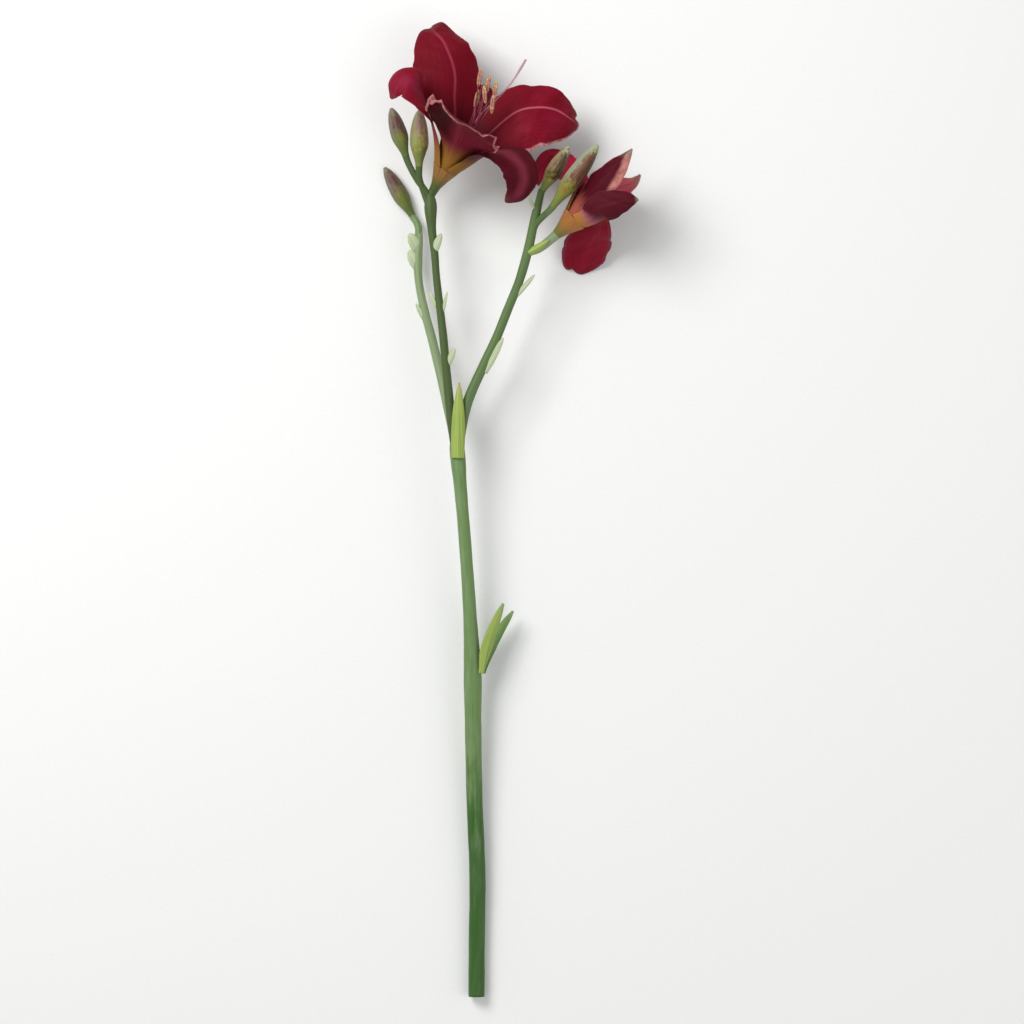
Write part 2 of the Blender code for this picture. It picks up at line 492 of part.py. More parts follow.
SIDE_TEPALS = [
    {"name": "petal_upper", "kind": "closing_petal", "azimuth": -22.0, "claw": 56.0, "half_width": 9.8,
     "cup": 0.7, "ruffle": 0.8, "waves": 2.6, "phase": 0.2,
     "rib": [(60.4, 427.4, 45.0), (66.6, 434.6, 48.0), (74.4, 442.8, 49.0), (82.4, 451.4, 47.0)],
     "faces": [(0.3, -0.3, -0.9), (0.3, -0.3, -0.9), (0.3, -0.3, -0.9), (0.3, -0.3, -0.9)]},
    {"name": "petal_low", "kind": "round_petal", "azimuth": 92.0, "claw": 38.0, "half_width": 12.6,
     "cup": 0.3, "ruffle": 0.9, "waves": 2.4, "phase": 0.3,
     "rib": [(65.2, 410.6, 29.6), (61.8, 406.2, 21.6), (58.8, 400.2, 13.4),
             (56.6, 393.8, 6.6), (55.6, 387.8, 0.26)],
     "faces": [(0.34, 0.85, -0.34), (0.1, 0.75, -0.6), (0.0, 0.6, -0.72), (0.0, 0.55, -0.78),
               (0.0, 0.5, -0.82)]},
    {"name": "petal_back", "kind": "closing_petal", "azimuth": 220.0, "claw": 56.0, "half_width": 7.8,
     "cup": 0.4, "ruffle": 0.6, "waves": 2.6, "phase": 0.5,
     "rib": [(62.6, 430.0, 26.0), (70.4, 432.4, 24.0), (78.4, 433.2, 23.0), (83.4, 435.2, 23.4),
             (87.4, 439.4, 24.0)],
     "faces": [(-0.1, -0.1, 1.0)] * 4 + [(0.0, -0.1, 1.0)]},
    {"name": "sepal_front", "kind": "sepal", "azimuth": 32.0, "claw": 50.0, "half_width": 8.6, "cup": 0.6,
     "ruffle": 0.5, "waves": 2.2, "phase": 0.0,
     "rib": [(64.0, 419.0, 48.0), (72.0, 421.6, 52.0), (79.0, 423.4, 53.0), (85.6, 424.4, 52.0)],
     "faces": [(0.1, 0.3, -0.9), (0.1, 0.3, -0.9), (0.1, 0.3, -0.9), (0.1, 0.3, -0.9)]},
    {"name": "sepal_right", "kind": "sepal", "azimuth": 174.0, "claw": 36.0, "half_width": 7.0, "cup": 0.3,
     "ruffle": 0.5, "waves": 2.2, "phase": 0.4,
     "rib": [(62.8, 427.0, 20.8), (69.4, 428.4, 15.2), (76.4, 429.6, 11.6), (83.0, 431.4, 11.6)],
     "faces": [(-0.2, 0.4, 0.85), (-0.2, 0.3, 0.9), (-0.1, 0.2, 0.95), (0.0, 0.1, 1.0)]},
    {"name": "sepal_left", "kind": "sepal", "azimuth": 260.0, "claw": 52.0, "half_width": 8.4, "cup": -0.3,
     "ruffle": 0.6, "waves": 2.2, "phase": 0.1,
     "rib": [(52.4, 437.6, 25.0), (46.6, 444.4, 20.0), (39.0, 447.4, 17.0), (34.2, 441.4, 16.0),
             (33.0, 434.0, 17.0)],
     "faces": [(0.3, 0.4, 0.85), (0.0, 0.4, 0.9), (-0.3, 0.3, 0.9), (-0.5, 0.1, 0.85), (-0.5, -0.1, 0.85)]}]
SIDE_WAY = [(57.9, 420.4, 34.5), (63.8, 425.6, 35.9)]
SIDE_STYLE_END = [(69.7, 430.8, 37.3), (76.0, 436.4, 38.7)]
SIDE_STAMEN_REACH = 21.0
SIDE_STAMEN_SPREAD = 3.8


def make_scape(finish, blooms, spurs):
    """The stem with its branches, pedicels and small bracts, grown as one piece."""
    stem = smooth_path(STEM, np.linspace(0.0, 1.0, 27))
    stem[:3, 2] = STEM[0][2]
    target = round_shoot("scape", stem[:, :3], stem[:, 3], STEM_SIDES, finish,
                         ends=[(0.0, -1.0, 0.0), (0.0, 1.0, 0.0)])
    pieces = []
    for name, knots in (("left", LEFT_BRANCH), ("middle", MIDDLE_BRANCH), ("right", RIGHT_BRANCH)):
        branch = smooth_path(knots, np.linspace(0.0, 1.0, 15))
        pieces.append(round_shoot(name, branch[:, :3], branch[:, 3], BRANCH_SIDES, finish))
    for name, root, bend, base, tip, _ in BUDS:
        along = unit(np.asarray(tip) - np.asarray(base))
        path = smooth_path([root, bend, np.asarray(base) - 1.5 * along, base], np.linspace(0.0, 1.0, 7))
        radii = np.linspace(1.6, PEDICEL_END, 7)
        pieces.append(round_shoot(name + "_pedicel", path, radii, BRANCH_SIDES, finish, ends=[along, along]))
    for bloom, spur in zip(blooms, spurs):
        end = bloom.foot - SEAT_GAP * bloom.axis
        path = smooth_path([*spur, end - 3.0 * bloom.axis, end], np.linspace(0.0, 1.0, 8))
        radii = np.linspace(1.9, 2.7, 8)
        pieces.append(round_shoot(bloom.name + "_pedicel", path, radii, BRANCH_SIDES, finish,
                                  ends=[bloom.axis, bloom.axis]))
    for index, (root, tip, half_width, half_thickness) in enumerate(BRACTLETS):
        pieces.append(make_bractlet("bractlet_%d" % index, root, tip, half_width, half_thickness, finish))
    return fuse(target, pieces)


def main():
    """Build every piece where it lies."""
    for old in list(bpy.data.objects):
        bpy.data.objects.remove(old, do_unlink=True)
    green = material("stem_green", (0.12, 0.22, 0.10), 0.55)
    yellow_green = material("bract_green", (0.33, 0.45, 0.10), 0.55)
    bud_skin = material("bud_skin", (0.22, 0.16, 0.10), 0.5)
    orange = material("tube_orange", (0.40, 0.20, 0.05), 0.5)
    crimson = material("petal_crimson", (0.20, 0.004, 0.018), 0.5)
    sepal_red = material("sepal_crimson", (0.24, 0.008, 0.03), 0.5)
    pollen = material("stamen_rose", (0.55, 0.25, 0.10), 0.6)
    rose = material("style_rose", (0.35, 0.06, 0.08), 0.5)

    top = Bloom("top_bloom", (-21.6, 433.2, 24.5), 30.0, 25.0)
    side = Bloom("side_bloom", (43.0, 407.5, 31.0), 49.0, 10.0)
    make_scape(green, [top, side],
               [[(-25.0, 427.0, 24.2)], [(27.4, 397.0, 30.9), (33.0, 399.6, 31.0)]])
    for name, _, _, base, tip, greatest in BUDS:
        make_bud(name, base, tip, greatest, bud_skin)
    for name, points, faces_towards, half_width, bend in BRACTS:
        make_bract(name, points, faces_towards, half_width, bend, yellow_green)
    side_ends = [side.rim + SIDE_STAMEN_REACH * side.axis
                 + SIDE_STAMEN_SPREAD * side.outward(STAMEN_STEP * (k + 0.5)) for k in range(STAMENS)]
    blooms = [(top, TOP_TEPALS, TOP_STAMEN_WAY, TOP_STAMENS, TOP_STYLE),
              (side, SIDE_TEPALS, SIDE_WAY, side_ends, SIDE_WAY + SIDE_STYLE_END)]
    for bloom, tepals, way, ends, style in blooms:
        bloom.tube(orange)
        for spec in tepals:
            bloom.tepal(spec, sepal_red if spec["kind"].endswith("sepal") else crimson)
        bloom.stamens(way, ends, pollen)
        bloom.pistil(style, rose)


main()
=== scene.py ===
"""Looks of the daylily flower: one cut flowering stem lying on a pale surface, seen from straight above.

Every piece is a surface worked out on a grid of two parameters, in millimetres from the middle of the
stem's cut end (x across the stem, y up the stem, z the height over the surface). in_metres() turns those
into the part's own frame. The pieces keep the form of the solids they stand for and add what those leave
out: crimped margins, midribs, veins, valves and seams of the buds, pollen, wax and the colours.
"""

import logging
import math
from dataclasses import dataclass, field
from enum import Enum
from typing import Iterator, Sequence

import bpy
import numpy as np
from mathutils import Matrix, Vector


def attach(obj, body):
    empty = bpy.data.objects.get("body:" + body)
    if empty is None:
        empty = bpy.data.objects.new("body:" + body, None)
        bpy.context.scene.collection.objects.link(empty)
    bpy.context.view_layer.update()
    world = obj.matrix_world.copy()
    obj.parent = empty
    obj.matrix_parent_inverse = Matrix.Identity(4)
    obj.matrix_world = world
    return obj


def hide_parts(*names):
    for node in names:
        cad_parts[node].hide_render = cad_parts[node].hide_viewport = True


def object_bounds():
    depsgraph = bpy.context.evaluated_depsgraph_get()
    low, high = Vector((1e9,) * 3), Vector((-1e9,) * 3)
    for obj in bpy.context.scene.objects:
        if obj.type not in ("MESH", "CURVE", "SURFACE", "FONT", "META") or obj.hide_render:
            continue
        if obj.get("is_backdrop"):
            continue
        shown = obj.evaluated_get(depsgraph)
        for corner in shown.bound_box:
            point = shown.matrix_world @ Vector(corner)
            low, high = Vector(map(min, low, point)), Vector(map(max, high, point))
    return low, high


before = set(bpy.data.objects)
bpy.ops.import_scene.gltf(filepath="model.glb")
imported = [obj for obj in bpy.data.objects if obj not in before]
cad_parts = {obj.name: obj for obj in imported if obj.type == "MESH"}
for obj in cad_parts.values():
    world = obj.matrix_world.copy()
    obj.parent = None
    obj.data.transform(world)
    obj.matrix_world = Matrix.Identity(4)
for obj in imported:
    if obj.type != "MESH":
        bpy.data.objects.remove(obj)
SOLID_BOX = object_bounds()

LOG = logging.getLogger("daylily")

MM = 0.001
# How far the part's own origin lies from the middle of the cut end, in millimetres.
ORIGIN_ACROSS = 19.02
ORIGIN_ALONG = 259.82
Vec = tuple[float, float, float]
Knots = Sequence[Sequence[float]]
Grid = np.ndarray
Piece = bpy.types.Object
Material = bpy.types.Material
Socket = bpy.types.NodeSocket


def in_metres(points: Grid) -> Grid:
    """Turn places in millimetres from the cut end into metres in the part's frame.

    Args:
        points: rows of x, y, z in millimetres.

    Returns:
        The same rows in metres; what would sink under the surface is pressed flat on it.
    """
    moved = np.asarray(points, dtype=float) - np.array([ORIGIN_ACROSS, ORIGIN_ALONG, 0.0])
    moved[:, 2] = np.maximum(moved[:, 2], 0.0)
    return moved * MM


def unit(vectors: Sequence[float] | Grid) -> Grid:
    """Scale vectors, one or many in rows, to length one."""
    rows = np.asarray(vectors, dtype=float)
    return rows / np.linalg.norm(rows, axis=-1, keepdims=True)


def smooth_step(x: Grid | float, start: float, end: float) -> Grid:
    """Rise from 0 at start to 1 at end as 3t^2 - 2t^3, with no kink at either."""
    t = np.clip((np.asarray(x, dtype=float) - start) / (end - start), 0.0, 1.0)
    return t * t * (3.0 - 2.0 * t)


def smooth_path(points: Knots, fractions: Grid) -> Grid:
    """Read a smooth curve through knots at fractions of its length.

    Between two knots the curve is a cubic with the knots' tangents; a knot's tangent is the mean of the
    slopes on its two sides, each weighted by the length of the other side.

    Args:
        points: rows whose first three columns are a place; any others are carried along with it.
        fractions: where to read the curve, 0 at its start and 1 at its end.

    Returns:
        One row for each fraction, with as many columns as the knots have.
    """
    knots = np.asarray(points, dtype=float)
    steps = np.linalg.norm(np.diff(knots[:, :3], axis=0), axis=1)
    slopes = np.diff(knots, axis=0) / steps[:, None]
    tangents = np.empty_like(knots)
    tangents[0] = slopes[0]
    tangents[-1] = slopes[-1]
    before, after = steps[:-1, None], steps[1:, None]
    tangents[1:-1] = (slopes[:-1] * after + slopes[1:] * before) / (before + after)
    times = np.concatenate([[0.0], np.cumsum(steps)])
    dense = np.linspace(0.0, times[-1], 3000)
    span = np.clip(np.searchsorted(times, dense, side="right") - 1, 0, len(steps) - 1)
    width = steps[span][:, None]
    t = (dense[:, None] - times[span][:, None]) / width
    rows = ((2 * t ** 3 - 3 * t ** 2 + 1) * knots[span] + (t ** 3 - 2 * t ** 2 + t) * width * tangents[span]
            + (3 * t ** 2 - 2 * t ** 3) * knots[span + 1] + (t ** 3 - t ** 2) * width * tangents[span + 1])
    run = np.concatenate([[0.0], np.cumsum(np.linalg.norm(np.diff(rows[:, :3], axis=0), axis=1))])
    wanted = np.asarray(fractions, dtype=float) * run[-1]
    return np.stack([np.interp(wanted, run, column) for column in rows.T], axis=1)


def length_along(path: Grid) -> Grid:
    """Distance along a path at each of its rows, in the path's own unit."""
    return np.concatenate([[0.0], np.cumsum(np.linalg.norm(np.diff(path, axis=0), axis=1))])


def ripple(x: Grid, seed: int, octaves: int = 3) -> Grid:
    """Smooth seeded waviness from about -1 to 1.

    The sum of sines, each 1.83 times as fine and 0.6 times as high as the one before and with a phase
    of its own, over 1.6.

    Args:
        x: where to read it; one unit is one wave of the lowest sine.
        seed: which waviness.
        octaves: how many sines are added.

    Returns:
        An array of the shape of x.
    """
    phases = np.random.default_rng(seed).uniform(0.0, 2.0 * math.pi, octaves)
    total = np.zeros_like(np.asarray(x, dtype=float))
    for octave, phase in enumerate(phases):
        total = total + 0.6 ** octave * np.sin(2.0 * math.pi * x * 1.83 ** octave + phase)
    return total / 1.6


def turns_round(sides: int) -> Grid:
    """Angles evenly spaced round a circle in radians, the first of them half a step past 0."""
    return (np.arange(sides) + 0.5) * 2.0 * math.pi / sides


def square_to(along: Grid, away: Sequence[float] | Grid) -> tuple[Grid, Grid]:
    """Two unit vectors square to along and to each other, the first of them square to away too."""
    side = unit(np.cross(along, away))
    return side, np.cross(side, along)


def across_and_inward(along: Grid, faces: Grid) -> tuple[Grid, Grid]:
    """Find a blade's directions at each of its rows.

    Inward is the way it faces less that way's part along the blade, made a unit vector; across is the
    cross product of along and inward.

    Args:
        along: unit vectors along the blade.
        faces: the ways its inner face looks.

    Returns:
        The unit vectors across and inward.
    """
    inward = unit(faces - np.sum(faces * along, axis=1, keepdims=True) * along)
    return np.cross(along, inward), inward


def arc_across(width: Grid, bend: Grid, v: Grid) -> tuple[Grid, Grid]:
    """Lay a blade's section along an arc of a circle.

    At v the arc lies sin(bend v) / bend to the side and (1 - cos(bend v)) / bend inwards, both times the
    half width.

    Args:
        width: the half width at each row.
        bend: half the arc's angle at each row, in radians.
        v: the places across, -1 to 1.

    Returns:
        How far each vertex lies to the side and inwards.
    """
    angle = bend[:, None] * v[None, :]
    return (width[:, None] * np.sin(angle) / bend[:, None],
            width[:, None] * (1.0 - np.cos(angle)) / bend[:, None])


def sections(centres: Grid, first: Grid, second: Grid, reach_first: Grid, reach_second: Grid) -> Grid:
    """Carry a section along a path.

    A point is its row's centre plus reach_first times the first direction plus reach_second times the
    second.

    Args:
        centres: rows x 3 places.
        first: one direction for all rows, or one for each.
        second: another, square to the first.
        reach_first: rows x columns distances.
        reach_second: rows x columns distances.

    Returns:
        rows x columns x 3 places.
    """
    first, second = [axis[:, None, :] if axis.ndim > 1 else axis for axis in (first, second)]
    return centres[:, None, :] + reach_first[..., None] * first + reach_second[..., None] * second


def on_grid(shape: tuple[int, ...], *values: Grid | float) -> Grid:
    """Spread three values over a grid of vertices and join them to one vector at each."""
    return np.stack([np.broadcast_to(value, shape) for value in values], axis=-1)


@dataclass
class Shell:
    """One closed surface with what its finish reads from it.

    skin and shape are two vectors at each vertex; each class says what it puts in them.
    """

    vertices: Grid
    quads: Grid
    triangles: Grid
    skin: Grid
    shape: Grid
    finish: int = 0


def grid_quads(rows: int, columns: int, wrap: bool) -> Grid:
    """Quads of a grid of vertices stored row by row.

    Args:
        rows: how many rows of vertices.
        columns: how many vertices in a row.
        wrap: True joins each row's last vertex to its first.

    Returns:
        Four vertex numbers a row, in the order first, next in the row, next in the row above, above.
    """
    i, j = np.meshgrid(np.arange(rows - 1), np.arange(columns if wrap else columns - 1), indexing="ij")
    beside = (j + 1) % columns
    corners = [i * columns + j, i * columns + beside, (i + 1) * columns + beside, (i + 1) * columns + j]
    return np.stack([corner.ravel() for corner in corners], axis=1)


def round_shell(rings: Grid, skin: Grid, shape: Grid, finish: int = 0) -> Shell:
    """Close a stack of rings into a shell, with a pole in the middle of its first and its last ring.

    Args:
        rings: rows x sides x 3 places, the sides turning right-handed about the path.
        skin: rows x sides x 3 values for the finish.
        shape: rows x sides x 3 values for the finish.
        finish: which of the piece's finishes it wears.

    Returns:
        The closed shell.
    """
    rows, sides = rings.shape[:2]
    count = rows * sides
    ends = [values[row].mean(axis=0)[None, :] for values in (rings, skin, shape) for row in (0, -1)]
    side = np.arange(sides)
    beside = (side + 1) % sides
    top = (rows - 1) * sides
    start = np.stack([beside, side, np.full(sides, count)], axis=1)
    finish_fan = np.stack([top + side, top + beside, np.full(sides, count + 1)], axis=1)
    return Shell(np.concatenate([rings.reshape(-1, 3), ends[0], ends[1]]), grid_quads(rows, sides, True),
                 np.concatenate([start, finish_fan]),
                 np.concatenate([skin.reshape(-1, 3), ends[2], ends[3]]),
                 np.concatenate([shape.reshape(-1, 3), ends[4], ends[5]]), finish)


def blade_shell(surface: Grid, outer: Grid, inner: Grid, skin: Grid, shape: Grid) -> Shell:
    """Give a sheet its two faces and the wall round its margin.

    The outer face is the sheet moved by outer along its normal, the inner face the sheet moved by inner
    the other way; the normal is the cross product of the directions along the rows and the columns.

    Args:
        surface: rows x columns x 3 places of the sheet's middle.
        outer: rows x columns distances to the outer face.
        inner: rows x columns distances to the inner face.
        skin: rows x columns x 3 values; the third is set here, to 1 outside and 0 inside.
        shape: rows x columns x 3 values for the finish.

    Returns:
        The closed shell.
    """
    rows, columns = surface.shape[:2]
    normal = unit(np.cross(np.gradient(surface, axis=0), np.gradient(surface, axis=1)))
    count = rows * columns
    outside = grid_quads(rows, columns, False)
    inside = outside + count
    border = np.concatenate([np.arange(columns - 1), np.arange(rows - 1) * columns + columns - 1,
                             (rows - 1) * columns + np.arange(columns - 1, 0, -1),
                             np.arange(rows - 1, 0, -1) * columns])
    following = np.roll(border, -1)
    wall = np.stack([border, following, following + count, border + count], axis=1)
    flat = skin.reshape(-1, 3)
    both = np.concatenate([flat, flat])
    both[:count, 2] = 1.0
    both[count:, 2] = 0.0
    return Shell(np.concatenate([(surface + outer[..., None] * normal).reshape(-1, 3),
                                 (surface - inner[..., None] * normal).reshape(-1, 3)]),
                 np.concatenate([outside[:, ::-1], inside, wall]), np.empty((0, 3), dtype=int), both,
                 np.concatenate([shape.reshape(-1, 3)] * 2))


def make_piece(name: str, shells: Sequence[Shell], finishes: Sequence[Material], node: str) -> Piece:
    """Put shells into one object that rides on the part and stands for a solid.

    Args:
        name: the piece's name.
        shells: the closed surfaces it is made of.
        finishes: its materials; a shell's finish is a place in this list.
        node: the solid it stands for.

    Returns:
        The new object, at the origin.
    """
    starts = np.cumsum([0] + [len(shell.vertices) for shell in shells])
    faces: list[list[int]] = []
    indices: list[int] = []
    for shell, start in zip(shells, starts):
        faces += (shell.quads + start).tolist() + (shell.triangles + start).tolist()
        indices += [shell.finish] * (len(shell.quads) + len(shell.triangles))
    mesh = bpy.data.meshes.new(name)
    mesh.from_pydata(in_metres(np.concatenate([shell.vertices for shell in shells])).tolist(), [], faces)
    for key in ("skin", "shape"):
        layer = mesh.attributes.new(key, "FLOAT_VECTOR", "POINT")
        rows = np.concatenate([getattr(shell, key) for shell in shells])
        layer.data.foreach_set("vector", rows.astype(np.float32).ravel())
    for finish in finishes:
        mesh.materials.append(finish)
    mesh.polygons.foreach_set("material_index", np.array(indices, dtype=np.int32))
    mesh.shade_smooth()
    mesh.update()
    piece = bpy.data.objects.new(name, mesh)
    bpy.context.scene.collection.objects.link(piece)
    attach(piece, "root")
    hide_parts(node)
    return piece


# Finishes.


def linear(hex_colour: str) -> tuple[float, float, float, float]:
    """Turn an sRGB hex colour into linear values.

    Args:
        hex_colour: six hex digits after a hash sign.

    Returns:
        Red, green, blue and an alpha of 1.
    """
    values = [int(hex_colour[i:i + 2], 16) / 255.0 for i in (1, 3, 5)]
    red, green, blue = [v / 12.92 if v <= 0.04045 else ((v + 0.055) / 1.055) ** 2.4 for v in values]
    return red, green, blue, 1.0


def add_node(tree: bpy.types.NodeTree, kind: str, links: dict | None = None, output: int = 0,
             **settings: object) -> Socket | None:
    """Add a node with its settings and links.

    Args:
        tree: the tree it goes into.
        kind: the node's type, without the leading ShaderNode.
        links: input name or number to a value, or to the output that feeds it.
        output: which of its outputs to hand back.
        **settings: the node's own properties.

    Returns:
        That output, or None for a node that has none.
    """
    node = tree.nodes.new("ShaderNode" + kind)
    for key, value in settings.items():
        setattr(node, key, value)
    for key, value in (links or {}).items():
        if isinstance(value, Socket):
            tree.links.new(value, node.inputs[key])
        else:
            node.inputs[key].default_value = value
    return node.outputs[output] if len(node.outputs) else None


@dataclass
class Surface:
    """A new material, with the vectors that its pieces carry taken apart."""

    name: str
    material: Material = field(init=False)
    tree: bpy.types.NodeTree = field(init=False)
    skin: list[Socket] = field(init=False)
    shape: list[Socket] = field(init=False)
    place: Socket = field(init=False)

    def __post_init__(self) -> None:
        """Make the material and read the two vectors and the place on the part."""
        self.material = bpy.data.materials.new(self.name)
        self.material.use_nodes = True
        self.tree = self.material.node_tree
        self.tree.nodes.clear()
        self.skin = self.parts("skin")
        self.shape = self.parts("shape")
        self.place = add_node(self.tree, "TexCoord", output=3)

    def parts(self, attribute: str) -> list[Socket]:
        """Read a vector attribute and hand back its three values."""
        vector = add_node(self.tree, "Attribute", output=1, attribute_name=attribute)
        return list(add_node(self.tree, "SeparateXYZ", {0: vector}).node.outputs)

    def reckon(self, operation: str, *values: object) -> Socket:
        """Work out one operation on numbers or outputs."""
        return add_node(self.tree, "Math", dict(enumerate(values)), operation=operation)

    def times(self, first: object, second: object) -> Socket:
        """Multiply two numbers or outputs."""
        return self.reckon("MULTIPLY", first, second)

    def plus(self, first: object, second: object) -> Socket:
        """Add two numbers or outputs."""
        return self.reckon("ADD", first, second)

    def over(self, first: object, second: object) -> Socket:
        """Divide the first by the second, each a number or an output."""
        return self.reckon("DIVIDE", first, second)

    def band(self, value: Socket, start: float, end: float, low: float = 0.0, high: float = 1.0) -> Socket:
        """Go smoothly from low, where the value is start, to high, where it is end."""
        links = {"Value": value, "From Min": start, "From Max": end, "To Min": low, "To Max": high}
        return add_node(self.tree, "MapRange", links, interpolation_type="SMOOTHSTEP")

    def blend(self, factor: object, first: object, second: object) -> Socket:
        """Mix two colours, each a hex value or an output."""
        ends = [linear(c) if isinstance(c, str) else c for c in (first, second)]
        return add_node(self.tree, "Mix", {0: factor, 6: ends[0], 7: ends[1]}, 2, data_type="RGBA")

    def grain(self, grain_mm: float, detail: float = 3.0) -> Socket:
        """Noise on the part itself whose patches are about grain_mm wide."""
        links = {"Vector": self.place, "Scale": 1.0 / (grain_mm * MM), "Detail": detail, "Roughness": 0.6}
        return add_node(self.tree, "TexNoise", links)

    def streaks(self, across: object, along: object, detail: float = 3.0, aside: object = 0.0) -> Socket:
        """Noise drawn out along the piece: across, along and aside are counted in streaks."""
        vector = add_node(self.tree, "CombineXYZ", {0: across, 1: along, 2: aside})
        links = {"Vector": vector, "Scale": 1.0, "Detail": detail, "Roughness": 0.55}
        return add_node(self.tree, "TexNoise", links)

    def close(self, colour: Socket, roughness: object, height: Socket, relief_mm: float,
              **shader: object) -> Material:
        """Join colour, roughness and relief to the shader.

        Args:
            colour: the base colour.
            roughness: a number or an output.
            height: the relief, from 0 to 1.
            relief_mm: how deep that is.
            **shader: the shader's other inputs, with _ for a space in their names.

        Returns:
            The finished material.
        """
        normal = add_node(self.tree, "Bump", {"Height": height, "Strength": 1.0, "Distance": relief_mm * MM})
        links = {"Base Color": colour, "Roughness": roughness, "Normal": normal}
        links.update({key.replace("_", " "): value for key, value in shader.items()})
        body = add_node(self.tree, "BsdfPrincipled", links)
        add_node(self.tree, "OutputMaterial", {0: body})
        return self.material


@dataclass(frozen=True)
class StalkSkin:
    """Skin of a living flower stalk: firm and green under a thin grey wax, with faint ribs.

    The stalk's lower part is a darker, fuller green, painted shade of the leaves that stood round it, and
    its wax thins there. skin holds the place in the section, up and to the side, and the length, all in
    millimetres; shape holds the height up the whole stem in millimetres and the tone, from -1 dark to 1
    pale. rib_mm and wax_mm are the breadth and length of a rib's streak and of a patch of wax;
    shade_full_below and shade_gone_above are the heights below which the painted shade is full and above
    which it is gone, and cork_mm is the size of the small corky specks.
    """

    name: str = "waxy_stalk_skin"
    green: str = "#67844C"
    # lower is the darker green of the stalk's foot: painted shade of the leaves round it.
    lower: str = "#2F5A1A"
    dark: str = "#415326"
    pale: str = "#8B9C74"
    wax: str = "#8FA184"
    cork: str = "#7A6A3E"
    rib_mm: tuple[float, float] = (0.8, 30.0)
    wax_mm: tuple[float, float] = (3.5, 26.0)
    shade_full_below: float = 80.0
    shade_gone_above: float = 140.0
    cork_mm: float = 1.6

    def build(self) -> Material:
        """The wax dulls the green in long patches; ribs under a millimetre wide run up the stalk."""
        s = Surface(self.name)
        up, side, run = s.skin
        height, tone, _ = s.shape
        ribs, patches = [s.streaks(s.over(up, broad), s.over(run, long), 3.0, s.over(side, broad))
                         for broad, long in (self.rib_mm, self.wax_mm)]
        ragged = s.plus(height, s.band(patches, 0.2, 0.8, -25.0, 25.0))
        # Painted shade: the green darkens to the lower green towards the cut end.
        colour = s.blend(s.band(ragged, self.shade_gone_above, self.shade_full_below), self.green, self.lower)
        colour = s.blend(s.band(tone, 0.0, -1.0), colour, self.dark)
        colour = s.blend(s.band(tone, 0.0, 1.0), colour, self.pale)
        colour = s.blend(s.band(ribs, 0.45, 0.75, 0.0, 0.4), colour, self.dark)
        wax = s.times(s.band(patches, 0.4, 0.75, 0.0, 0.34), s.band(tone, -1.0, 0.0, 0.25, 1.0))
        colour = s.blend(s.times(wax, s.band(ragged, 60.0, 190.0, 0.35, 1.0)), colour, self.wax)
        colour = s.blend(s.band(s.grain(self.cork_mm, 2.0), 0.7, 0.8, 0.0, 0.3), colour, self.cork)
        roughness = s.band(patches, 0.3, 0.7, 0.45, 0.62)
        return s.close(colour, roughness, height=ribs, relief_mm=0.12, Specular_IOR_Level=0.3,
                       Sheen_Weight=0.08)


@dataclass(frozen=True)
class CutPith:
    """The knife's cut through the stalk: moist pale pith with a ring of darker strands near the skin.

    shape holds the distance from the middle, 0 to 1.
    """

    name: str = "cut_pith"
    pith: str = "#D6DDB4"
    strand: str = "#8FA365"
    edge: str = "#5E7F45"
    strand_mm: float = 0.9

    def build(self) -> Material:
        """Strands under a millimetre apart fill the pith; the skin shows as a green edge."""
        s = Surface(self.name)
        reach = s.shape[0]
        cells = add_node(s.tree, "TexVoronoi", {"Vector": s.place, "Scale": 1.0 / (self.strand_mm * MM)})
        strands = s.times(s.band(cells, 0.35, 0.1), s.band(reach, 0.2, 0.7, 0.25, 0.9))
        colour = s.blend(strands, self.pith, self.strand)
        colour = s.blend(s.band(reach, 0.82, 0.95), colour, self.edge)
        return s.close(colour, roughness=0.35, height=cells, relief_mm=0.08, Specular_IOR_Level=0.5)


@dataclass(frozen=True)
class BractSkin:
    """A leafy bract: thin parallel-veined green tissue that dries to straw at its tip and margin.

    skin holds the place across, -1 to 1, and the length in millimetres; shape the share of the length,
    the distance from the margin and the half width, both in millimetres. vein_mm and vein_run_mm are
    the breadth and length of a vein's streak.
    """

    name: str = "leafy_bract"
    green: str = "#7F9A3C"
    vein: str = "#5C7A2C"
    pale: str = "#9DAE58"
    straw: str = "#B49A66"
    vein_mm: float = 0.55
    vein_run_mm: float = 25.0

    def build(self) -> Material:
        """Veins half a millimetre apart run from the foot to the dry tip."""
        s = Surface(self.name)
        across, run, _ = s.skin
        share, margin, half_width = s.shape
        place = s.over(s.times(across, half_width), self.vein_mm)
        veins = s.streaks(place, s.over(run, self.vein_run_mm))
        colour = s.blend(s.band(veins, 0.4, 0.65), self.pale, self.green)
        colour = s.blend(s.band(veins, 0.6, 0.72, 0.0, 0.35), colour, self.vein)
        colour = s.blend(s.band(share, 0.84, 1.0, 0.0, 0.9), colour, self.straw)
        colour = s.blend(s.band(margin, 0.5, 0.1, 0.0, 0.35), colour, self.straw)
        return s.close(colour, roughness=0.5, height=veins, relief_mm=0.12, Specular_IOR_Level=0.35)


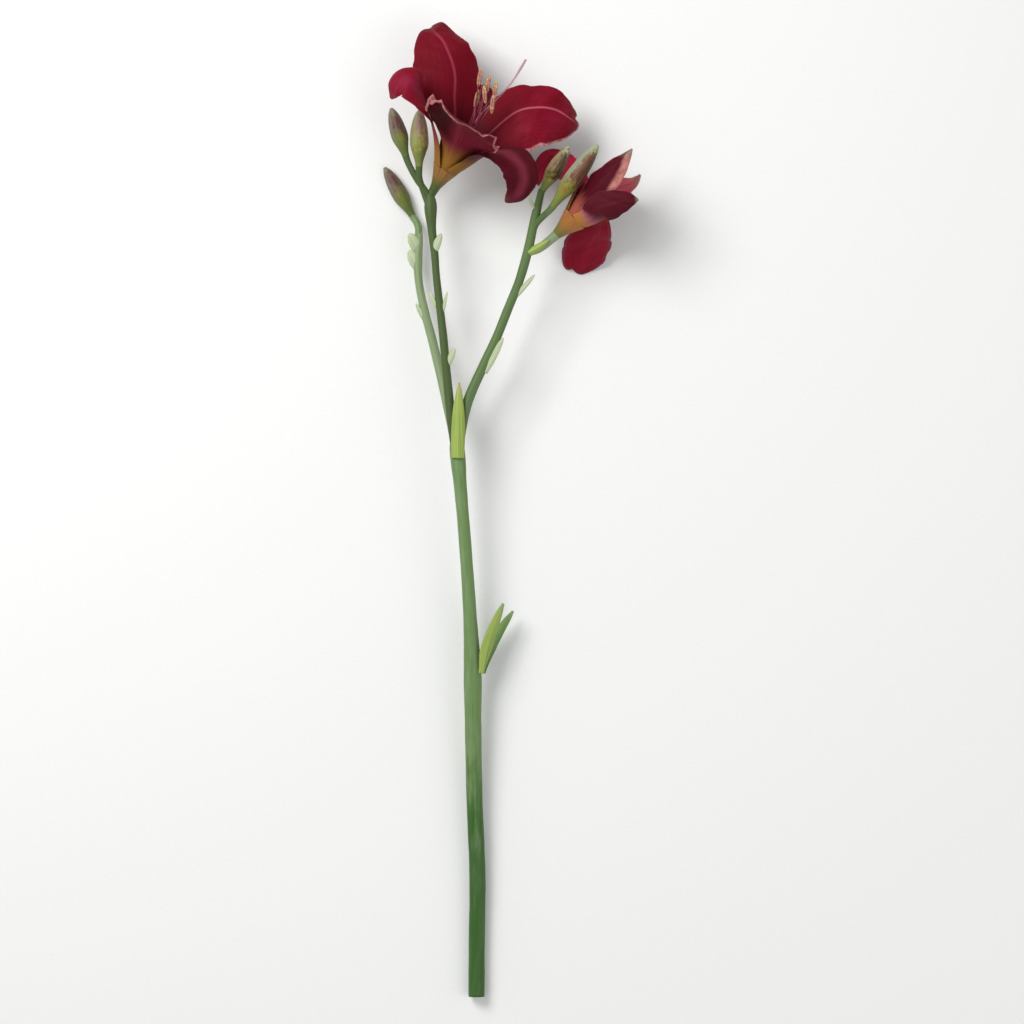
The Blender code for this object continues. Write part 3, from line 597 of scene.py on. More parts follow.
@dataclass(frozen=True)
class BudSkin:
    """Skin of a closed bud: three firm valves, green at the foot, flushed maroon above, pale at the tip.

    skin holds the share of the girth, the length in millimetres and the place across a valve, 0 at its
    seam and 1 on its back; shape holds the share of the length. The flanks carry painted light: the left
    one, towards the key light, is painted paler, and the right one, away from it, takes a colour of its
    own, mostly redder, that stands in for the shade there. flush_from is the share of the length where the
    flush sets in and flush_over the share it takes to be full; lines_round and line_mm are how many fine
    lines there are round the bud and how long they are, mottle_mm the size of its patches.
    """

    name: str
    foot: str
    glow: str
    flush: str
    tip: str
    seam: str
    painted_light_flank: str
    painted_shade_flank: str
    flush_from: float
    flush_over: float = 0.24
    lines_round: float = 46.0
    line_mm: float = 9.0
    mottle_mm: float = 2.2

    def build(self) -> Material:
        """The flush starts on each valve's back, leaves its seams green and is streaked with grey."""
        s = Surface(self.name)
        girth, run, back = s.skin
        share = s.shape[0]
        lines = s.streaks(s.times(girth, self.lines_round), s.over(run, self.line_mm))
        mottle = s.grain(self.mottle_mm, 4.0)
        start = s.plus(share, s.band(mottle, 0.25, 0.75, -0.1, 0.1))
        flush = s.times(s.band(start, self.flush_from, self.flush_from + self.flush_over),
                        s.band(start, 1.0, 0.78, 0.1, 1.0))
        flush = s.times(flush, s.band(back, 0.0, 0.3, 0.6, 1.0))
        colour = s.blend(s.band(share, 0.0, 0.35), self.seam, self.foot)
        glow = s.times(s.band(share, 0.1, 0.35), s.band(mottle, 0.4, 0.62, 0.2, 0.85))
        colour = s.blend(glow, colour, self.glow)
        colour = s.blend(flush, colour, self.flush)
        flank = s.plus(s.reckon("SINE", s.times(girth, 2.0 * math.pi)),
                       s.band(mottle, 0.3, 0.7, -0.25, 0.25))
        above = s.band(start, 0.25, 0.5)
        # Painted light on the left flank and painted shade on the right flank.
        colour = s.blend(s.times(s.band(flank, -0.1, -0.75, 0.0, 0.8), above), colour, self.painted_light_flank)
        colour = s.blend(s.times(s.band(flank, 0.2, 0.8, 0.0, 0.8), above), colour, self.painted_shade_flank)
        grey = s.times(s.band(lines, 0.45, 0.7, 0.0, 0.35), s.band(share, 0.35, 0.6))
        colour = s.blend(grey, colour, self.tip)
        colour = s.blend(s.band(start, 0.82, 1.0, 0.0, 0.9), colour, self.tip)
        colour = s.blend(s.band(back, 0.1, 0.0, 0.0, 0.4), colour, self.seam)
        return s.close(colour, s.band(mottle, 0.3, 0.7, 0.42, 0.56), height=lines, relief_mm=0.12,
                       Specular_IOR_Level=0.3, Sheen_Weight=0.08)


@dataclass(frozen=True)
class TubeSkin:
    """The perianth tube: fleshy, olive at the foot and orange at the rim, streaked by the tepals' ribs.

    skin holds the share of the girth and the length in millimetres; shape the share of the length.
    streaks_round is how many streaks there are round the tube, streak_mm how long they are and mottle_mm
    the size of the patches. The side bloom's pink streak colour is a painted highlight along the ribs.
    """

    name: str
    foot: str
    rim: str
    streak: str
    streaks_round: float = 34.0
    streak_mm: float = 7.0
    mottle_mm: float = 1.8

    def build(self) -> Material:
        """Streaks run up from the foot and the orange deepens to the rim."""
        s = Surface(self.name)
        girth, run, _ = s.skin
        share = s.shape[0]
        lines = s.streaks(s.times(girth, self.streaks_round), s.over(run, self.streak_mm))
        mottle = s.grain(self.mottle_mm)
        colour = s.blend(s.band(share, 0.0, 0.75), self.foot, self.rim)
        colour = s.blend(s.band(lines, 0.5, 0.7, 0.0, 0.5), colour, self.streak)
        colour = s.blend(s.band(mottle, 0.55, 0.75, 0.0, 0.3), colour, self.foot)
        return s.close(colour, roughness=0.5, height=lines, relief_mm=0.12, Specular_IOR_Level=0.3,
                       Sheen_Weight=0.05)


@dataclass(frozen=True)
class TepalSkin:
    """Velvet skin of a petal or sepal: domed cells soak up light, so that the crimson is deep and soft.

    skin holds the place across, -1 to 1, the length in millimetres and 1 outside or 0 inside; shape the
    share of the length, the distance from the margin in widths of the pale rim, and the half width in
    millimetres. rib_mm is half the midrib's breadth and rib how far it shows on the inner face; dusk is
    the strength of the painted shade that darkens the half of the outer face where the place across is
    above 0, in the eye colour, which also makes the dark ring round the throat. bloom is the colour of a
    painted pink highlight on the outer face at the claw and painted_highlight_share how far up it reaches,
    and tip_from where the tip's colour starts.
    veins and streaks are how many of them there are on each half; streak_mm, patch_mm and cell_mm are
    the sizes of its fine streaks, soft patches and domed cells. Real cells are a twentieth of a
    millimetre, too fine to show, so they are drawn coarser. sheen and gloss are the shader's sheen
    weight and specular level.
    """

    name: str
    flesh: str = "#74061A"
    glow: str = "#82102A"
    shade: str = "#520510"
    # eye is the dark ring round the throat and also the colour of the painted shade outside.
    eye_and_shade: str = "#3C040C"
    throat: str = "#A8742C"
    midrib: str = "#A03850"
    rim: str = "#D99C94"
    back: str = "#7A1A30"
    back_vein: str = "#58101F"
    back_rib: str = "#96505C"
    claw: str = "#8C6228"
    tip: str = "#6E3C3C"
    tip_from: float = 0.93
    veins: float = 9.0
    rib: float = 0.85
    rib_mm: float = 1.1
    # dusk is the strength of the painted shade on the outer face.
    painted_shade: float = 0.0
    # bloom is the colour of a painted pink highlight on the outer face at the claw.
    bloom: str = "#A85A60"
    painted_highlight_share: float = 0.0
    sheen: float = 0.04
    sheen_tint: str = "#C04058"
    gloss: float = 0.08
    streaks: float = 22.0
    streak_mm: float = 18.0
    patch_mm: float = 13.0
    cell_mm: float = 0.4

    def inside(self, s: Surface, lines: Socket, patches: Socket, vein: Socket) -> Socket:
        """Colour of the inner face: throat, a dark ring round it, crimson blade with veins and a rosy midrib.

        Args:
            s: the material's surface.
            lines: fine streaks along the blade.
            patches: soft patches over it.
            vein: 1 on a vein and 0 between two.

        Returns:
            The colour.
        """
        across, _, _ = s.skin
        share, margin, half_width = s.shape
        glow = s.times(s.band(patches, 0.35, 0.65), s.band(share, 0.35, 0.75, 0.2, 1.0))
        colour = s.blend(glow, self.flesh, self.glow)
        colour = s.blend(s.band(lines, 0.35, 0.75, 0.0, 0.3), colour, self.shade)
        colour = s.blend(s.times(vein, 0.1), colour, self.shade)
        ragged = s.plus(share, s.band(lines, 0.3, 0.7, -0.05, 0.05))
        colour = s.blend(s.band(ragged, 0.52, 0.22, 0.0, 0.88), colour, self.eye_and_shade)
        colour = s.blend(s.band(ragged, 0.14, 0.05), colour, self.throat)
        from_middle = s.reckon("ABSOLUTE", s.times(across, half_width))
        middle = s.times(s.band(from_middle, self.rib_mm, 0.2), s.band(share, 0.16, 0.6, 0.15, self.rib))
        middle = s.times(middle, s.band(share, 1.0, 0.88, 0.2, 1.0))
        colour = s.blend(middle, colour, self.midrib)
        colour = s.blend(s.band(share, self.tip_from, 1.0, 0.0, 0.7), colour, self.tip)
        # Rim colour at the margin: partly its own edge, partly painted highlight on rolled margins.
        edge = s.times(s.band(margin, 1.0, 0.25, 0.0, 0.85),
                       s.band(s.grain(2.4), 0.35, 0.6, 0.45, 1.0))
        return s.blend(s.times(edge, s.band(share, 0.2, 0.45)), colour, self.rim)

    def outside(self, s: Surface, lines: Socket, vein: Socket) -> Socket:
        """Colour of the outer face: duller red that runs down to the orange claw, with a broad pale rib.

        Args:
            s: the material's surface.
            lines: fine streaks along the blade.
            vein: 1 on a vein and 0 between two.

        Returns:
            The colour.
        """
        across, _, _ = s.skin
        share, margin, half_width = s.shape
        colour = s.blend(s.band(lines, 0.3, 0.6), self.back_vein, self.back)
        colour = s.blend(s.times(vein, 0.2), colour, self.back_vein)
        from_middle = s.reckon("ABSOLUTE", s.times(across, half_width))
        colour = s.blend(s.band(from_middle, 3.0, 0.3, 0.0, 0.4), colour, self.back_rib)
        # Painted shade: one half of the outer face is darkened to the eye colour by dusk.
        painted_shade_mask = s.times(s.band(across, 0.0, 0.4, 0.0, self.painted_shade), s.band(share, 0.22, 0.4))
        colour = s.blend(painted_shade_mask, colour, self.eye_and_shade)
        # Rim colour on the outer face, broken by noise: partly its own edge, partly painted highlight.
        worn = s.band(s.grain(3.0), 0.3, 0.6, 0.6, 1.0)
        colour = s.blend(s.times(s.band(margin, 0.6, 0.3, 0.0, 0.85), worn), colour, self.rim)
        colour = s.blend(s.band(share, self.tip_from, 1.0, 0.0, 0.8), colour, self.tip)
        ragged = s.plus(share, s.band(lines, 0.3, 0.7, -0.04, 0.04))
        # Painted highlight: a soft pink patch in the bloom colour up the outer face from the claw.
        pale = s.band(ragged, self.painted_highlight_share + 0.16, 0.5 * self.painted_highlight_share, 0.0, 0.8)
        colour = s.blend(pale, colour, self.bloom) if self.painted_highlight_share else colour
        return s.blend(s.band(ragged, 0.32 - 0.8 * self.painted_highlight_share, 0.08), colour, self.claw)

    def build(self) -> Material:
        """Veins diverge and meet again with the margins; the relief between them is a tenth of a mm."""
        s = Surface(self.name)
        across, run, side = s.skin
        lines = s.streaks(s.times(across, self.streaks), s.over(run, self.streak_mm), 4.0)
        patches = s.grain(self.patch_mm, 3.0)
        wander = s.streaks(s.times(across, 2.0), s.over(run, 12.0), 1.0)
        turns = s.plus(s.times(across, self.veins), s.times(wander, 1.6))
        wave = s.reckon("COSINE", s.times(turns, 2.0 * math.pi))
        vein = s.band(wave, 0.3, 1.0)
        colour = s.blend(side, self.inside(s, lines, patches, vein), self.outside(s, lines, vein))
        cells = s.grain(self.cell_mm, 2.0)
        height = s.plus(s.times(s.reckon("SUBTRACT", 1.0, vein), 0.45),
                        s.plus(s.times(lines, 0.4), s.times(cells, 0.35)))
        return s.close(colour, s.band(lines, 0.3, 0.7, 0.5, 0.64), height, relief_mm=0.08,
                       Specular_IOR_Level=self.gloss, Sheen_Weight=self.sheen, Sheen_Roughness=0.45,
                       Sheen_Tint=linear(self.sheen_tint))


@dataclass(frozen=True)
class FilamentSkin:
    """A smooth watery thread: rose at the foot, paler up to its end. shape holds the share of length."""

    name: str
    foot: str
    end: str

    def build(self) -> Material:
        """The colour pales along the thread."""
        s = Surface(self.name)
        grain = s.grain(1.2)
        colour = s.blend(s.band(s.shape[0], 0.15, 0.95), self.foot, self.end)
        colour = s.blend(s.band(grain, 0.5, 0.8, 0.0, 0.3), colour, self.foot)
        return s.close(colour, roughness=0.42, height=grain, relief_mm=0.04, Specular_IOR_Level=0.45)


@dataclass(frozen=True)
class PollenSkin:
    """An open anther: dry, thick with yellow pollen grains, browner where its two halves meet.

    Its rosy wall shows where the pollen has been brushed off. skin holds the place across a half, 0 in
    the furrow and 1 on its back, and shape the place along, 0 in the middle and 1 at both ends.
    """

    name: str = "yellow_pollen"
    pollen: str = "#C49C5A"
    light: str = "#EFD096"
    wall: str = "#BC7C76"
    furrow: str = "#7E4238"
    grain_mm: float = 0.22

    def build(self) -> Material:
        """Real grains are a tenth of a millimetre, too fine to show, so they are drawn twice as coarse."""
        s = Surface(self.name)
        grains = add_node(s.tree, "TexVoronoi", {"Vector": s.place, "Scale": 1.0 / (self.grain_mm * MM)})
        patches = s.grain(0.9)
        colour = s.blend(s.band(patches, 0.35, 0.65), self.pollen, self.light)
        bare = s.times(s.band(s.grain(2.2, 2.0), 0.38, 0.5), s.band(s.shape[0], 0.95, 0.6, 0.0, 0.9))
        colour = s.blend(bare, colour, self.wall)
        colour = s.blend(s.band(s.skin[2], 0.45, 0.0, 0.0, 0.9), colour, self.furrow)
        colour = s.blend(s.band(grains, 0.3, 0.6, 0.0, 0.3), colour, self.furrow)
        return s.close(colour, roughness=0.85, height=grains, relief_mm=0.12, Specular_IOR_Level=0.2)


@dataclass(frozen=True)
class PaleBoard:
    """The plain pale surface the stem lies on: smooth matt board."""

    name: str = "pale_board"
    colour: str = "#EEEEEC"
    shade: str = "#ECECEA"

    def build(self) -> Material:
        """A fine unevenness too faint to make a pattern."""
        s = Surface(self.name)
        mottle = s.grain(1.5, 2.0)
        colour = s.blend(s.band(mottle, 0.3, 0.7), self.colour, self.shade)
        return s.close(colour, roughness=0.8, height=mottle, relief_mm=0.02, Specular_IOR_Level=0.1)


# Stalk, branches, pedicels and bracts.


class Tone(Enum):
    """How a shoot's green stands against the main stem's."""

    DARK = -0.85
    LEAFY = -0.5
    MAIN = 0.0
    GREY = 0.35
    PALE = 0.7


@dataclass
class Shoot:
    """A round shoot that tapers along a path.

    knots are rows of x, y, z and radius. root and end are the lengths, in millimetres, over which its
    ends close like a dome; 0 leaves an end as wide as it is, cut across the way that facing gives.
    uneven is how much the radius varies along it, as a share, in swellings uneven_mm long, and fluted
    how much it varies round it.
    """

    name: str
    knots: Knots
    tone: Tone
    rows: int = 90
    sides: int = 28
    root: float = 0.0
    end: float = 0.0
    facing: tuple[Vec | None, Vec | None] = (None, None)
    uneven: float = 0.015
    uneven_mm: float = 26.0
    fluted: float = 0.012

    def shell(self) -> Shell:
        """Sweep a ring along the path.

        A ring's point is the path's point plus the radius times cos(turn) towards up and sin(turn)
        towards the side; the radius varies by a hundredth or two round and along, as a living stalk's,
        and a domed end follows a quarter of a circle.

        Returns:
            The closed shoot.
        """
        path = smooth_path(self.knots, np.linspace(0.0, 1.0, self.rows))
        places, radii = path[:, :3], path[:, 3]
        run = length_along(places)
        along = unit(np.gradient(places, axis=0))
        side, up = square_to(along, (0.0, 0.0, 1.0))
        turn = turns_round(self.sides)
        radii = radii * (1.0 + self.uneven * ripple(run / self.uneven_mm, len(self.name)))
        for length, beyond in ((self.root, run), (self.end, run[-1] - run)):
            if length > 0.0:
                radii = radii * np.sqrt(np.clip(1.0 - (1.0 - beyond / length).clip(0.0) ** 2, 0.01, 1.0))
        reach = radii[:, None] * (1.0 + self.fluted * np.cos(5.0 * turn))[None, :]
        rings = sections(places, up, side, reach * np.cos(turn), reach * np.sin(turn))
        for row, normal in zip((0, -1), self.facing):
            if normal is not None:
                lean = (rings[row] - places[row]) @ unit(normal)
                rings[row] -= np.outer(lean / (along[row] @ unit(normal)), along[row])
        tone = self.tone.value
        skin = on_grid(reach.shape, reach * np.cos(turn), reach * np.sin(turn), run[:, None])
        return round_shell(rings, skin, on_grid(reach.shape, rings[..., 1], tone, tone))


def short_stalk(name: str, places: Knots, radii: tuple[float, float], tone: Tone, facing: Grid,
                sides: int) -> Shoot:
    """Make the pedicel of a bud or bloom, whose radius changes evenly from its root to its end.

    Args:
        name: the piece's name.
        places: the places it runs through; the first lies inside the branch that carries it.
        radii: its radius at the root and at the end.
        tone: how its green stands against the stem's.
        facing: the way its end is cut across.
        sides: how many sides a ring has.

    Returns:
        The shoot.
    """
    knots = [(*place, radius) for place, radius in zip(places, np.linspace(*radii, len(places)))]
    return Shoot(name, knots, tone, rows=48, sides=sides, root=2.0, facing=(None, tuple(facing)))


@dataclass
class Bract:
    """A pointed blade that clasps a shoot at its root and flattens to its tip.

    bend is half the arc it follows across at its root, in radians; faces is the way its inside looks.
    foot is the width of its root as a share of its greatest, point how sharply its tip narrows and taper
    the least width left there. keel and keel_width are how far its midrib stands out and how broad it is.
    """

    name: str
    knots: Knots
    faces: Vec
    half_width: float
    bend: float
    thickness: float = 0.8
    taper: float = 0.14
    foot: float = 0.9
    point: float = 0.8
    keel: float = 0.25
    keel_width: float = 0.5
    rows: int = 56
    columns: int = 24

    def shell(self) -> Shell:
        """Lay an arc across the bract's midrib at each of its rows.

        The half width grows from the foot's by a smooth step and falls to the tip as (1 - t^2.6)^point,
        t being the share of the length, but not below taper. The section is an arc that flattens to
        half its bend at the tip. The margins thin to a third and the keel stands out behind.

        Returns:
            The closed blade.
        """
        t = np.linspace(0.0, 1.0, self.rows)
        rib = smooth_path(self.knots, t)
        along = unit(np.gradient(rib, axis=0))
        across, inward = across_and_inward(along, np.broadcast_to(unit(self.faces), along.shape))
        width = self.half_width * np.maximum((1.0 - t ** 2.6) ** self.point, self.taper)
        width = width * (self.foot + (1.0 - self.foot) * smooth_step(t, 0.0, 0.38))
        v = np.linspace(-1.0, 1.0, self.columns + 1)
        surface = sections(rib, across, inward, *arc_across(width, self.bend * (1.0 - 0.5 * t), v))
        thin = 0.5 * self.thickness * (1.0 - 0.65 * np.abs(v) ** 3)[None, :] * np.ones((self.rows, 1))
        keel = (self.keel * np.exp(-(v[None, :] * width[:, None] / self.keel_width) ** 2)
                * (1.0 - t[:, None]))
        run, margin = length_along(rib)[:, None], width[:, None] * (1.0 - np.abs(v))
        return blade_shell(surface, thin + keel, thin, on_grid(thin.shape, v, run, run),
                           on_grid(thin.shape, t[:, None], margin, width[:, None]))


@dataclass
class Bractlet:
    """A small scale bract on a branch: a boat that tapers to a point, sunk in the branch at its root."""

    root: Vec
    tip: Vec
    half_width: float
    half_depth: float
    bow: float = 0.35

    def shell(self) -> Shell:
        """Sweep an ellipse from root to tip.

        Its size swells to 1.1 of the half widths, tapers from the middle and ends bluntly at 0.14.

        Returns:
            The closed scale, with the values that a bract's finish reads.
        """
        rows, sides = 22, 16
        share = np.linspace(0.0, 1.0, rows)[:, None]
        root, tip = np.asarray(self.root), np.asarray(self.tip)
        side, up = square_to(unit(tip - root), (0.0, 0.0, 1.0))
        size = np.interp(share, [0.0, 0.3, 0.62, 0.86, 0.96, 1.0], [0.9, 1.1, 1.0, 0.68, 0.36, 0.14])
        turn = turns_round(sides)
        keel = 1.0 + 0.12 * np.cos(2.0 * turn)
        centre = root + share * (tip - root) + self.bow * np.sin(math.pi * share) * up
        half_width = self.half_width * size
        rings = sections(centre, up, side, size * self.half_depth * np.cos(turn) * keel,
                         half_width * np.sin(turn))
        margin = half_width * (1.0 - np.abs(np.sin(turn))) + 0.2
        run = share * float(np.linalg.norm(tip - root))
        return round_shell(rings, on_grid((rows, sides), np.sin(turn), run, share),
                           on_grid((rows, sides), share, margin, half_width))


@dataclass
class Scape:
    """The leafless flowering stalk: main stem, three branches, pedicels, scales and bracts.

    pith_dome is how far the cut's pith swells and pith_proud how far the cut stands out of the stem's
    end, both in millimetres; pressed is the cut's height as a share of its width.
    """

    stem: Shoot = field(default_factory=lambda: Shoot("main_stem", [
        (0.0, 0.0, 4.2, 4.35), (0.1, 24.0, 4.2, 4.35), (0.5, 65.0, 5.6, 4.35), (-1.0, 105.0, 8.2, 4.35),
        (-1.8, 150.0, 12.0, 4.5), (-2.0, 172.0, 14.0, 4.8), (-2.9, 195.0, 16.2, 3.9),
        (-6.1, 245.0, 21.0, 3.3), (-8.6, 275.0, 23.6, 3.5), (-9.9, 290.0, 24.6, 4.1),
        (-11.0, 301.0, 25.0, 3.4)], Tone.MAIN, rows=230, sides=40, end=7.0,
        facing=((0.0, -1.0, 0.0), None)))
    branches: list[Shoot] = field(default_factory=lambda: [
        Shoot("left_branch", [
            (-10.2, 290.0, 23.8, 2.2), (-14.2, 311.0, 20.4, 2.5), (-19.8, 336.0, 16.0, 2.4),
            (-24.0, 353.4, 13.6, 2.4), (-27.4, 366.0, 12.0, 2.3), (-31.0, 385.0, 9.8, 2.2),
            (-31.4, 397.0, 8.6, 2.5), (-30.8, 408.0, 7.6, 2.1), (-31.6, 414.5, 6.6, 1.9)], Tone.PALE,
            end=7.0),
        Shoot("middle_branch", [
            (-10.6, 290.0, 25.0, 2.4), (-13.6, 312.0, 26.0, 2.5), (-16.0, 336.0, 26.4, 2.3),
            (-17.6, 353.4, 26.6, 2.2), (-19.6, 371.0, 26.4, 2.1), (-21.2, 385.0, 26.0, 2.0),
            (-22.2, 398.0, 25.6, 2.1), (-23.6, 410.0, 25.0, 2.3), (-24.3, 422.0, 24.4, 3.5),
            (-24.2, 429.6, 24.0, 3.7)], Tone.DARK, end=10.0),
        Shoot("right_branch", [
            (-9.6, 292.0, 25.0, 2.4), (-5.0, 317.0, 26.4, 2.7), (4.7, 339.4, 27.4, 2.6),
            (10.3, 351.3, 28.0, 2.5), (16.6, 367.0, 28.8, 2.4), (23.0, 383.0, 29.8, 2.4),
            (27.8, 400.0, 31.0, 2.5), (31.2, 416.0, 32.2, 2.3), (33.4, 425.0, 33.0, 2.1)], Tone.LEAFY,
            end=7.0)])
    scales: list[Bractlet] = field(default_factory=lambda: [
        Bractlet((-27.4, 362.0, 12.4), (-32.4, 371.4, 13.4), 1.3, 0.5),
        Bractlet((-31.4, 400.0, 8.8), (-35.8, 409.0, 10.4), 2.9, 0.9),
        Bractlet((-31.6, 391.0, 9.4), (-36.0, 400.0, 9.6), 2.9, 1.0),
        Bractlet((-21.6, 369.0, 26.6), (-24.8, 377.0, 27.0), 1.2, 0.5),
        Bractlet((-18.4, 364.0, 26.8), (-15.4, 377.0, 27.4), 0.9, 0.5),
        Bractlet((-22.6, 398.0, 26.2), (-18.6, 408.0, 27.6), 2.0, 0.9),
        Bractlet((-15.4, 338.0, 27.0), (-11.4, 347.0, 28.0), 1.7, 0.7),
        Bractlet((21.2, 374.6, 29.6), (31.2, 386.0, 31.4), 1.3, 0.7),
        Bractlet((4.4, 334.0, 27.8), (14.4, 352.4, 29.6), 1.9, 0.9),
        Bractlet((31.4, 420.0, 32.8), (27.2, 427.6, 33.6), 0.9, 0.7)])
    bracts: list[Bract] = field(default_factory=lambda: [
        Bract("fork_bract", [(-9.8, 288.4, 29.7), (-9.6, 300.0, 30.6), (-9.4, 314.0, 31.4),
                             (-9.0, 328.6, 31.0)],
              faces=(0.0, -0.1, -1.0), half_width=4.2, bend=0.9),
        Bract("lower_bract_front", [(2.9, 173.6, 17.9), (5.0, 184.0, 19.6), (9.4, 198.0, 20.2),
                                    (14.4, 211.0, 19.6)],
              faces=(-0.5, 0.2, -0.84), half_width=4.0, bend=0.8, taper=0.24, foot=0.5, point=0.55),
        Bract("lower_bract_back", [(3.6, 173.8, 11.2), (6.8, 184.0, 10.4), (12.8, 196.0, 10.0),
                                   (19.6, 206.8, 10.4)],
              faces=(-0.5, 0.3, 0.81), half_width=3.7, bend=0.6, taper=0.24, foot=0.5, point=0.55)])
    small_bract: Bract = field(default_factory=lambda: Bract("side_stalk_bract", [
        (27.6, 397.6, 33.0), (31.0, 399.2, 33.7), (35.0, 401.6, 33.8), (38.6, 404.2, 33.9)],
        faces=(0.0, 0.0, -1.0), half_width=2.5, bend=1.25, thickness=0.5, rows=36))
    pith_dome: float = 0.15
    pith_proud: float = 0.03
    pressed: float = 0.966

    def cut_face(self) -> Shell:
        """The knife's cut: rings from the stem's edge to its middle, a hair's breadth proud of the end.

        A ring's point is the middle plus a share of the stem's radius towards cos(turn), sin(turn). The
        first ring is sunk in the stem; the others' shares fall from the edge to a twentieth, and the pith
        is domed. The disc is a little less high than wide, as the stem's underside is pressed flat.

        Returns:
            The closed disc.
        """
        x, y, z, radius = self.stem.knots[0]
        turn = turns_round(self.stem.sides)
        shares = np.linspace(0.985, 0.05, 14)
        reach = np.concatenate([[0.97], shares])[:, None]
        depth = np.concatenate([[0.5], -self.pith_dome * (1.0 - shares ** 2) - self.pith_proud])[:, None]
        grid = (len(reach), self.stem.sides)
        rings = on_grid(grid, x - radius * reach * np.sin(turn), y + depth,
                        z + self.pressed * radius * reach * np.cos(turn))
        share = on_grid(grid, reach, reach, reach)
        return round_shell(rings[::-1], share[::-1], share[::-1], finish=1)

    def build(self, stems: Sequence[Shoot]) -> Iterator[Piece]:
        """Make the stalk's pieces.

        Args:
            stems: the pedicels that the buds and blooms stand on.

        Yields:
            Each piece.
        """
        stalk, pith, leafy = StalkSkin().build(), CutPith().build(), BractSkin().build()
        papery = BractSkin("papery_scale", green="#A2B084", vein="#8C9C6E", pale="#BEC8A6",
                           straw="#C4BE9E").build()
        yield make_piece("main_stem", [self.stem.shell(), self.cut_face()], [stalk, pith], "scape")
        for branch in self.branches:
            yield make_piece(branch.name, [branch.shell()], [stalk], "scape")
        for pedicel in stems:
            yield make_piece(pedicel.name, [pedicel.shell()], [stalk], "scape")
        scales = [scale.shell() for scale in self.scales]
        yield make_piece("branch_scales", scales, [papery], "scape")
        yield make_piece("side_stalk_bract", [self.small_bract.shell()], [leafy], "scape")
        green_tipped = BractSkin("green_tipped_bract", straw="#8A9E74").build()
        shaded = BractSkin("shaded_bract", green="#56783A", vein="#45602A", pale="#6A8A48",
                           straw="#7C8C5E").build()
        for bract, skin in zip(self.bracts, (leafy, green_tipped, shaded)):
            yield make_piece(bract.name + "_leaf", [bract.shell()], [skin], bract.name)


# Buds.


@dataclass
class Bud:
    """A closed bud of three valves on its pedicel.

    stalk holds the pedicel's first points, the first of them inside the branch that carries it; base
    and tip are the bud's ends, radius its greatest and foot_radius its radius at the base, which it
    reaches past into the pedicel by sunk. stalk_radius and stalk_end are the pedicel's at its two ends.
    swelling, seam_depth and dents are how far the valves' backs swell, the seams are pressed in and the
    skin is uneven, as shares of the radius.
    """

    name: str
    stalk: Knots
    base: Vec
    tip: Vec
    radius: float
    skin: BudSkin
    tone: Tone
    stalk_radius: float = 1.6
    stalk_end: float = 1.9
    foot_radius: float = 1.95
    swelling: float = 0.07
    seam_depth: float = 0.055
    seam_breadth: float = 0.035
    dents: float = 0.01
    sunk: float = 0.25

    def pedicel(self) -> Shoot:
        """The short stalk under the bud."""
        along = unit(np.subtract(self.tip, self.base))
        places = [*self.stalk, tuple(np.asarray(self.base) - 1.5 * along), self.base]
        return short_stalk(self.name + "_stalk", places, (self.stalk_radius, self.stalk_end), self.tone,
                           along, 24)

    def shell(self) -> Shell:
        """Stack the bud's rings from foot to tip.

        The radius rises from the foot by a smooth step and falls as (1 - t^2.3)^0.62 past the widest
        place; the section swells three times round, with a seam pressed in between two valves, and the
        tip keeps a small three-cornered point.

        Returns:
            The closed bud.
        """
        rows, sides = 110, 72
        t = 0.5 - 0.5 * np.cos(np.linspace(0.0, math.pi, rows))
        along = unit(np.subtract(self.tip, self.base))
        up = unit(np.array([0.0, 0.0, 1.0]) - along[2] * along)
        side = np.cross(along, up)
        start = np.asarray(self.base) - self.sunk * along
        span = np.asarray(self.tip) - start
        rise = self.foot_radius + (self.radius - self.foot_radius) * smooth_step(t, 0.0, 0.42)
        fall = (1.0 - np.clip((t - 0.4) / 0.6, 0.0, 1.0) ** 2.3) ** 0.62
        radii = np.maximum(rise * fall, 0.8 * (1.0 - smooth_step(t, 0.985, 1.0)) + 0.25)
        turn = turns_round(sides)
        back = 0.5 + 0.5 * np.cos(3.0 * turn)
        seam = self.seam_depth * np.exp(-back / self.seam_breadth)
        share = t[:, None]
        reach = radii[:, None] * (1.0 + self.swelling * np.cos(3.0 * turn) * np.sin(math.pi * share)
                                  - seam * smooth_step(share, 0.05, 0.3)
                                  + self.dents * ripple(turn * 3.0 / math.pi + 2.0 * share, 5))
        rings = sections(start + share * span, up, side, reach * np.cos(turn), reach * np.sin(turn))
        skin = on_grid(reach.shape, turn / (2.0 * math.pi), share * np.linalg.norm(span), back)
        return round_shell(rings, skin, on_grid(reach.shape, share, share, share))

    def build(self) -> Piece:
        """Make the bud."""
        return make_piece(self.name + "_valves", [self.shell()], [self.skin.build()], self.name)


# Blooms.


@dataclass(frozen=True)
class Outline:
    """How a tepal's half width runs from claw to tip.

    ring is the radius its claw stands on and flare the claw's lean in degrees; widest is the share of
    the length where it is broadest, tip how late it narrows and fullness how blunt it ends.
    """

    ring: float
    flare: float
    widest: float
    tip: float
    fullness: float


class Habit(Enum):
    """The outlines that a tepal takes."""

    PETAL = Outline(ring=5.6, flare=19.0, widest=0.5, tip=2.3, fullness=0.55)
    ROUND_PETAL = Outline(ring=5.6, flare=19.0, widest=0.62, tip=2.8, fullness=0.5)
    CLOSING_PETAL = Outline(ring=5.6, flare=19.0, widest=0.42, tip=1.7, fullness=0.85)
    SEPAL = Outline(ring=6.95, flare=27.0, widest=0.5, tip=2.0, fullness=0.75)
    SPOON_SEPAL = Outline(ring=6.95, flare=27.0, widest=0.7, tip=2.2, fullness=0.7)


